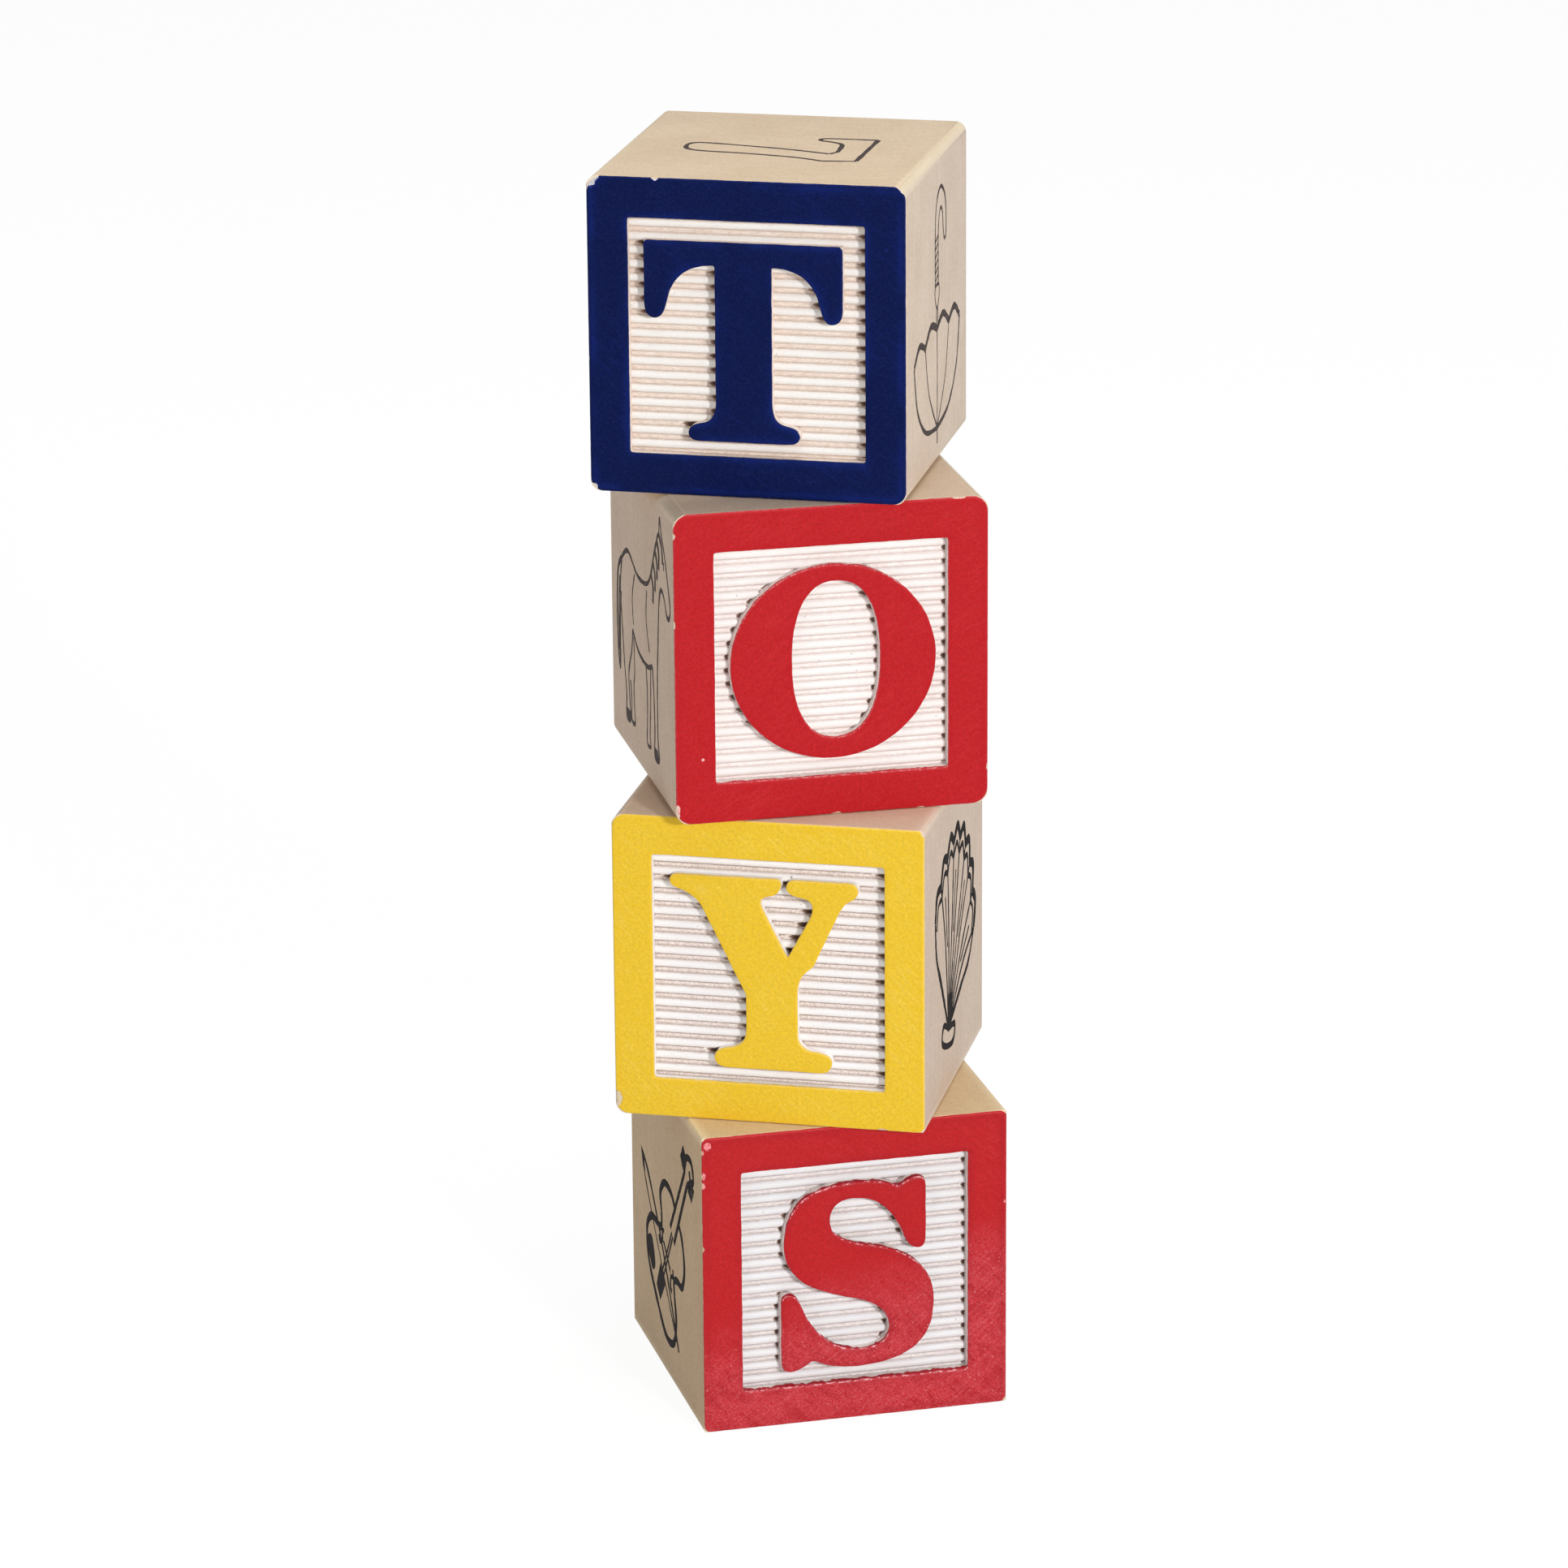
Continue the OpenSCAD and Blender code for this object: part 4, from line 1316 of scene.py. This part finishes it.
# %% [markdown]
# ## The wooden cubes
#
# Each cube keeps the exact shape of its CAD node, but as one merged mesh with soft shading, so that
# knocks can be cut out of its corners. A knock is a small lumpy ball taken away from the wood where
# the paint above it is chipped. The balls are joined into one cutter, which keeps it to one cut.

# %% Knocks in the wood, as (x, y, z, radius)
KNOCKS = {
    "t": ((-15.35, -15.3, 30.2, 0.70), (-15.3, -15.3, -0.15, 0.60), (13.6, -15.4, 30.3, 0.42),
          (15.2, 14.8, 30.1, 0.5)),
    "o": ((-15.35, -15.35, 27.9, 0.45), (-15.4, -15.35, 1.4, 0.50), (0.4, -15.4, -0.25, 0.45),
          (15.2, 15.1, 29.9, 0.5)),
    "y": ((-15.3, -15.3, 1.2, 0.60), (10.9, -15.4, -0.25, 0.42), (15.1, 15.1, 0.3, 0.5)),
    "s": ((-15.2, -15.3, 29.6, 0.55), (-15.4, -15.3, 25.6, 0.45), (-15.45, -15.35, 18.8, 0.42),
          (15.2, 15.2, 29.7, 0.5)),
}


def knock_cutter(block):
    mesh = bpy.data.meshes.new("knocks")
    with opened(mesh) as solid:
        for x, y, z, radius in KNOCKS[block.key]:
            middle = Vector((x, y, z))
            for vert in bmesh.ops.create_icosphere(solid, subdivisions=4, radius=radius)["verts"]:
                lump = 1 + 0.22 * noise.noise(vert.co * 3.1 + middle)
                vert.co = vert.co * lump + middle
        solid.transform(block.place @ Matrix.Scale(MM, 4))
    mesh.materials.append(WOODS[block.key])
    return put("knocks", mesh)


def wooden_cube(block):
    node = f"{block.key}_cube"
    mesh = bpy.data.meshes.new(f"{node}_wood")
    solid = merged(node)
    solid.to_mesh(mesh)
    solid.free()
    mesh.materials.append(WOODS[block.key])
    thing = put(f"{node}_wood", mesh)
    cutter = knock_cutter(block)
    cut = thing.modifiers.new("knocks", "BOOLEAN")
    cut.operation = "DIFFERENCE"
    cut.solver = "MANIFOLD"
    cut.object = cutter
    graph = bpy.context.evaluated_depsgraph_get()
    knocked = bpy.data.meshes.new_from_object(thing.evaluated_get(graph))
    thing.modifiers.remove(cut)
    thing.data = knocked
    bpy.data.objects.remove(cutter)
    soften(knocked)
    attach(thing, block.body)
    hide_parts(node)
    return thing


for block in blocks.values():
    made = wooden_cube(block)
    print(made.name, "faces", len(made.data.polygons))

# %% [markdown]
# ## Line drawings on the bare sides
#
# The bare sides carry plain line drawings, stamped in ink. They could be painted by a material, but a
# line that is its own thin piece stays sharp at any distance and can be looked at from all sides. Each
# stroke is a smooth curve through a few points, and a Geometry Nodes tree sweeps a flat, slightly
# uneven ribbon of ink along it.

# %% The ink tree
ink_tree = Tree("ink_line", {"Step": "Float", "Half width": "Float", "Half thickness": "Float",
                             "Unevenness": "Float", "Seed": "Float", "Ink": "Material"})
add, vector, given = ink_tree.add, ink_tree.vector, ink_tree.given
line = add("GeometryNodeResampleCurve", {"Curve": given["Geometry"], "Length": given["Step"]}, mode="LENGTH")
shifted = ink_tree.vectors("ADD", add("GeometryNodeInputPosition"), vector(0.0, 0.0, given["Seed"]))
patch = add("ShaderNodeTexNoise", {"Vector": shifted, "Scale": 0.9, "Detail": 4.0}, "Fac")
pressed = add("GeometryNodeInputRadius")
width = pressed * ((patch - 0.5) * given["Unevenness"] + 1.0)
line = add("GeometryNodeSetCurveRadius", {"Curve": line, "Radius": width})
line = add("GeometryNodeSetCurveNormal", {"Curve": line}, mode="Z_UP")
nib = add("GeometryNodeTransform", {
    "Geometry": add("GeometryNodeCurvePrimitiveCircle", {"Resolution": 6, "Radius": 1.0}),
    "Scale": vector(given["Half width"], given["Half thickness"], 1.0)})
ribbon = add("GeometryNodeCurveToMesh", {
    "Curve": line, "Profile Curve": nib, "Scale": pressed, "Fill Caps": True})
ink_tree.close(ribbon, given["Ink"])

# %% [markdown]
# A hand draws a bend in one sweep. Many short straight pieces would need many points, and handles on
# each point would be slow to place. Here each stroke is a list of the few points that it passes through,
# and a cubic between each pair takes its direction from their neighbours.

# %% Smooth strokes
STROKE_PARTS = 8


def smooth(points, closed=False):
    """A line through the points that bends evenly from each to the next."""
    count = len(points)
    line = []
    for i in range(count if closed else count - 1):
        near = [(i + k) % count if closed else min(max(i + k, 0), count - 1) for k in (-1, 0, 1, 2)]
        before, here, there, after = (Vector(points[k]) for k in near)
        for part in range(STROKE_PARTS):
            t = part / STROKE_PARTS
            squared = (2 * before - 5 * here + 4 * there - after) * t ** 2
            cubed = (3 * here - before - 3 * there + after) * t ** 3
            line.append(0.5 * (2 * here + (there - before) * t + squared + cubed))
    return line if closed else line + [Vector(points[-1])]


class Drawing:
    """Strokes and filled patches on one bare side, in mm: x to the right, y up."""

    def __init__(self):
        self.strokes = []
        self.patches = []

    def stroke(self, points, weight=1.0, closed=False, straight=False):
        line = [Vector(point) for point in points] if straight else smooth(points, closed)
        self.strokes.append((line, weight, closed))

    def mirrored(self, points, weight=1.0):
        self.stroke(points, weight)
        self.stroke([(-x, y) for x, y in points], weight)

    def patch(self, points, straight=True):
        self.patches.append([Vector(point) for point in points] if straight else smooth(points, True))


# %% [markdown]
# A stamp presses the whole drawing onto the wood at once. So one function takes a drawing, turns it to
# its side of the block, grows its strokes, and adds its filled patches as thin flat solids.

# %% Stamping a drawing onto a side
INK_STEP = 0.22
INK_LIFT = 0.006
UNEVENNESS = 0.9


def side_place(block, where):
    """From mm on a bare side (x right, y up, z out) to the block's place in the stack."""
    half = block.side / 2 / MM
    frames = {
        "right": ((0, 0, 1, half), (1, 0, 0, 0), (0, 1, 0, 0)),
        "left": ((0, 0, -1, -half), (-1, 0, 0, 0), (0, 1, 0, 0)),
        "top": ((1, 0, 0, 0), (0, 1, 0, 0), (0, 0, 1, 2 * half)),
    }
    return block.place @ Matrix.Scale(MM, 4) @ Matrix((*frames[where], (0, 0, 0, 1)))


def fill_patch(solid, line, place):
    """A closed line as a thin flat solid of ink."""
    low = [solid.verts.new(place @ Vector((point.x, point.y, -INK_LIFT))) for point in line]
    high = [solid.verts.new(place @ Vector((point.x, point.y, INK_LIFT))) for point in line]
    turning = sum(a.x * b.y - b.x * a.y for a, b in zip(line, line[1:] + line[:1]))
    step = 1 if turning > 0 else -1
    solid.faces.new(high[::step])
    solid.faces.new(low[::-step])
    for i in range(len(line)):
        j = (i + 1) % len(line)
        solid.faces.new((low[i], low[j], high[j], high[i])[::step])


def stamp(name, block, where, drawing, ink, half_width, seed):
    """The drawing as one piece of thin ink on a bare side."""
    place = side_place(block, where)
    curve = bpy.data.curves.new(name, "CURVE")
    curve.dimensions = "3D"
    for line, weight, closed in drawing.strokes:
        spline = curve.splines.new("POLY")
        spline.points.add(len(line) - 1)
        for point, corner in zip(spline.points, line):
            point.co = (corner.x, corner.y, 0, 1)
            point.radius = weight
        spline.use_cyclic_u = closed
    values = {"Step": INK_STEP, "Half width": half_width, "Half thickness": INK_LIFT,
              "Unevenness": UNEVENNESS, "Seed": float(seed), "Ink": ink}
    thing = grown(name, ink_tree, put(f"{name}_strokes", curve), values, place)
    with opened(thing.data) as solid:
        for line in drawing.patches:
            fill_patch(solid, line, place)
        bmesh.ops.triangulate(solid, faces=[face for face in solid.faces if len(face.verts) > 4])
    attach(thing, block.body)
    print(name, "strokes", len(drawing.strokes), "patches", len(drawing.patches))


# %% [markdown]
# The drawings are plain things that anyone would draw: an umbrella, a pony, a shell, a fiddle, and the
# outline of a 7. They are built from smooth curves and mirrored lines through given points. The
# umbrella's canopy is symmetrical, so half of it is drawn, and the rest is its mirror image.

# %% The umbrella
umbrella = Drawing()
umbrella.mirrored([(0, 3.7), (5.6, 4.6), (9.6, 7.6), (11.2, 12.0)], 1.3)
umbrella.mirrored([(11.2, 12.0), (8.6, 13.5), (5.8, 12.7)], 1.8)
umbrella.mirrored([(5.8, 12.7), (3.0, 14.1), (0, 13.3)], 1.8)
umbrella.mirrored([(5.8, 12.7), (4.1, 8.0), (0, 3.7)], 0.9)
umbrella.stroke([(0, 13.3), (0.1, 8.5), (0, 3.7)], 0.9)
umbrella.stroke([(0, 3.9), (0, 2.2)], 1.2)
umbrella.mirrored([(-0.35, 13.4), (-0.3, 15.2)])
umbrella.stroke([(-1.0, 16.4), (0, 15.2), (1.0, 16.4), (0.8, 17.4), (-0.8, 17.4)], 0.9, closed=True)
for turn in range(6):
    umbrella.stroke([(-0.85, 17.9 + 0.75 * turn), (0.55, 18.4 + 0.75 * turn)], 0.7)
umbrella.stroke([(-0.9, 17.4), (-0.9, 22.5), (-0.2, 25.3), (1.8, 26.5), (3.9, 25.2), (4.5, 22.6),
                 (4.3, 21.3)], 1.1)
umbrella.stroke([(0.6, 17.4), (0.6, 22.3), (1.1, 24.0), (1.9, 24.5), (2.7, 23.8), (3.0, 22.4),
                 (3.5, 21.2), (4.3, 21.3)])
stamp("t_umbrella_ink", blocks["t"], "right", umbrella, GREY_INK, 0.19, 1)

# %% The 7
corners = [(8.5, 4.7), (8.3, -4.9), (5.2, -5.3), (2.2, -4.1), (-2.6, -3.2), (-7.4, -2.6), (-8.7, -1.1),
           (-7.9, 0.8), (-3.0, 0.1), (1.2, -0.8), (5.2, -2.1), (5.8, -1.2), (5.6, 1.9), (4.8, 2.9),
           (3.2, 3.6), (3.6, 4.6)]
seven = Drawing()
seven.stroke(corners[:2], straight=True)
seven.stroke(corners[1:3], straight=True)
for part in (corners[2:11], corners[10:12], corners[11:15], corners[14:] + corners[:1]):
    seven.stroke(part)
stamp("t_seven_ink", blocks["t"], "top", seven, GREY_INK, 0.24, 2)

# %% [markdown]
# A pony has no mirror line, so its outline is a list of strokes with their weights, each as long as a
# hand would draw without lifting the pen. Only the tufts of its mane repeat, and a loop draws those.

# %% The pony
PONY = (
    (1.1, [(-9.4, 19.6), (-6.4, 20.9), (-2.0, 19.7), (2.2, 20.0), (4.4, 21.4), (6.2, 24.0), (8.0, 26.2),
           (8.6, 26.5), (9.0, 28.2), (9.9, 26.4), (11.0, 25.2), (12.6, 22.4), (13.4, 20.6), (12.9, 19.5),
           (11.8, 19.5), (10.6, 20.9), (9.2, 21.3), (8.3, 20.0), (7.8, 17.6), (7.5, 15.4), (7.1, 13.0),
           (6.9, 9.4), (6.9, 6.2), (7.4, 4.1), (5.3, 4.0), (5.5, 6.4), (5.3, 9.6), (4.7, 12.6)]),
    (1.1, [(4.7, 12.6), (2.2, 11.9), (-1.8, 12.2), (-4.6, 13.6)]),
    (1.1, [(-4.6, 13.6), (-5.2, 11.4), (-6.8, 8.8), (-6.5, 6.2), (-6.1, 4.2), (-8.1, 4.1), (-8.0, 6.4),
           (-8.9, 9.2), (-9.7, 12.8), (-10.4, 16.4), (-9.4, 19.6)]),
    (1.0, [(3.9, 12.4), (3.6, 8.6), (3.2, 5.4), (3.5, 4.3), (1.8, 4.3), (2.0, 6.4), (2.1, 9.4),
           (1.6, 11.9)]),
    (1.0, [(-4.2, 13.0), (-3.9, 9.8), (-4.4, 8.0), (-4.2, 5.8), (-4.0, 4.4), (-5.6, 4.4), (-5.5, 6.4),
           (-6.0, 8.2)]),
    (1.5, [(-9.6, 19.4), (-11.4, 17.8), (-12.1, 13.4), (-11.7, 9.6), (-10.9, 8.2), (-10.8, 12.4),
           (-10.1, 16.0)]),
    (1.2, [(-10.6, 17.4), (-11.3, 13.2), (-11.2, 9.8)]),
)
MANE = ((4.6, 21.6), (5.6, 23.0), (6.6, 24.4), (7.5, 25.6))
pony = Drawing()
for weight, points in PONY:
    pony.stroke(points, weight)
for x, y in MANE:
    pony.stroke([(x, y), (x + 0.9, y - 1.0), (x + 0.8, y - 2.6)], 1.7)
pony.stroke([(8.8, 26.4), (9.8, 25.4), (10.2, 24.0)], 1.6)
pony.stroke([(10.4, 23.9), (10.8, 23.9)], 1.9)
pony.stroke([(2.4, 19.4), (2.0, 16.4), (3.4, 13.6)], 0.9)
pony.stroke([(-3.4, 19.4), (-4.6, 16.8), (-4.2, 14.2)], 0.9)
pony.patch([(6.8, 4.9), (7.5, 4.0), (5.2, 3.9), (5.5, 4.9)])
pony.patch([(-6.3, 5.0), (-6.0, 4.1), (-8.2, 4.0), (-8.1, 5.0)])
stamp("o_pony_ink", blocks["o"], "left", pony, GREY_INK, 0.22, 3)

# %% [markdown]
# A shell follows a rule: its scallops stand at equal angles round one point. So only its foot is given.
# One function gives a point at an angle and a reach, and a loop draws each scallop with its inner line
# and its ribs.

# %% The shell
SHELL_FOOT = (-3.0, 6.4)
SHELL_MIDDLE = (-2.2, 8.6)
SHELL_REACH = 16.0
SHELL_NARROW_SHARE = 0.74
SHELL_SCALLOPS = 8
SHELL_ENDS = (152, 28)
SHELL_LEAN = math.radians(-19)


def on_shell(degrees, reach=SHELL_REACH):
    turn = math.radians(degrees)
    upright = Vector((SHELL_NARROW_SHARE * reach * math.cos(turn), reach * math.sin(turn)))
    away = Matrix.Rotation(SHELL_LEAN, 2) @ upright
    return (SHELL_MIDDLE[0] + away.x, SHELL_MIDDLE[1] + away.y)


shell = Drawing()
for low, high, end in ((166, 160, SHELL_ENDS[0]), (14, 20, SHELL_ENDS[1])):
    shell.stroke([SHELL_FOOT, on_shell(low, 7.5), on_shell(high, 12.5), on_shell(end)], 1.4)
for k in range(SHELL_SCALLOPS):
    start, end = (SHELL_ENDS[0] + (SHELL_ENDS[1] - SHELL_ENDS[0]) * (k + step) / SHELL_SCALLOPS
                  for step in (0, 1))
    half_way = (start + end) / 2
    shell.stroke([on_shell(start), on_shell(half_way, SHELL_REACH + 1.3), on_shell(end)], 1.9)
    shell.stroke([on_shell(start, SHELL_REACH - 1.5), on_shell(half_way, SHELL_REACH - 0.4),
                  on_shell(end, SHELL_REACH - 1.5)], 1.2)
    shell.stroke([on_shell(end), on_shell(end, 8.0), SHELL_FOOT])
    if k % 2:
        shell.stroke([on_shell(half_way, SHELL_REACH - 3.0), on_shell(half_way, 7.0)], 0.8)
shell.stroke([SHELL_FOOT, (-5.4, 7.4), (-6.2, 6.0), (-3.6, 4.8), (-0.6, 4.4), (0.2, 5.8), SHELL_FOOT], 1.4)
stamp("y_shell_ink", blocks["y"], "right", shell, BLACK_INK, 0.25, 4)

# %% [markdown]
# A fiddle's body is symmetrical, but it leans on its side of the block. Leaning points are hard to place
# by hand, so the body is drawn upright, one half at a time, and a function leans it.

# %% The fiddle and its bow
FIDDLE_FOOT = Vector((-4.6, 6.3))
FIDDLE_LEAN = math.radians(-37)
FIDDLE_SIZE = Vector((1.28, 0.86))
HALF_FIDDLE = (
    (1.5, [(0, 0), (3.4, 0.4), (5.3, 3.0), (4.9, 6.2), (3.3, 8.2)]),
    (1.4, [(3.3, 8.2), (2.5, 9.6), (3.2, 11.2)]),
    (1.5, [(3.2, 11.2), (4.3, 12.6), (3.9, 15.4), (2.2, 17.2), (0.7, 17.4)]),
    (1.1, [(1.7, 10.2), (2.1, 9.6), (1.7, 8.6), (2.1, 7.4), (2.6, 7.6)]),
    (1.2, [(0.75, 13.4), (0.55, 25.0)]),
    (0.7, [(0.25, 5.4), (0.2, 13.6)]),
)


def leaned(points, way=1):
    """From the fiddle's own frame, upright on its foot, to its lean on the side."""
    turn = Matrix.Rotation(FIDDLE_LEAN, 2)
    return [FIDDLE_FOOT + turn @ (FIDDLE_SIZE * Vector((way * x, y))) for x, y in points]


fiddle = Drawing()
for way in (-1, 1):
    for weight, points in HALF_FIDDLE:
        fiddle.stroke(leaned(points, way), weight)
fiddle.patch(leaned([(-0.75, 1.4), (0.75, 1.4), (1.0, 5.4), (-1.0, 5.4)]))
fiddle.patch(leaned([(-1.6, 8.7), (1.6, 8.7), (1.2, 9.3), (-1.2, 9.3)]))
fiddle.patch(leaned([(-4.7, 1.9), (-2.4, 1.0), (-1.9, 2.9), (-3.9, 4.2)]), straight=False)
fiddle.stroke(leaned([(-0.55, 25.0), (-0.9, 27.4), (0.3, 29.0), (1.5, 28.2), (1.1, 26.9), (0.3, 27.4)]), 1.5)
fiddle.stroke(leaned([(0.55, 25.0), (0.9, 26.2), (1.1, 26.9)]), 1.2)
for up in (25.4, 26.6):
    fiddle.stroke(leaned([(-0.7, up), (-2.1, up + 0.2)]), 1.9)
    fiddle.stroke(leaned([(0.9, up), (2.2, up + 0.3)]), 1.9)
fiddle.stroke([(-10.4, 19.8), (-7.4, 18.2), (-1.6, 12.4), (4.6, 4.2)], 1.1)
fiddle.stroke([(-10.4, 19.8), (-8.6, 17.0), (-2.4, 10.8), (4.6, 4.2)], 0.7)
fiddle.patch([(-10.7, 20.2), (-9.6, 19.7), (-8.9, 17.9), (-9.9, 18.2)])
stamp("s_fiddle_ink", blocks["s"], "left", fiddle, BLACK_INK, 0.27, 5)

# %% [markdown]
# ## Sizes and the last step
#
# The model stays within a hundredth of a millimetre of the box that the CAD gives it. The last step
# brings the scene up to date.

# %% The last step
bpy.context.view_layer.update()
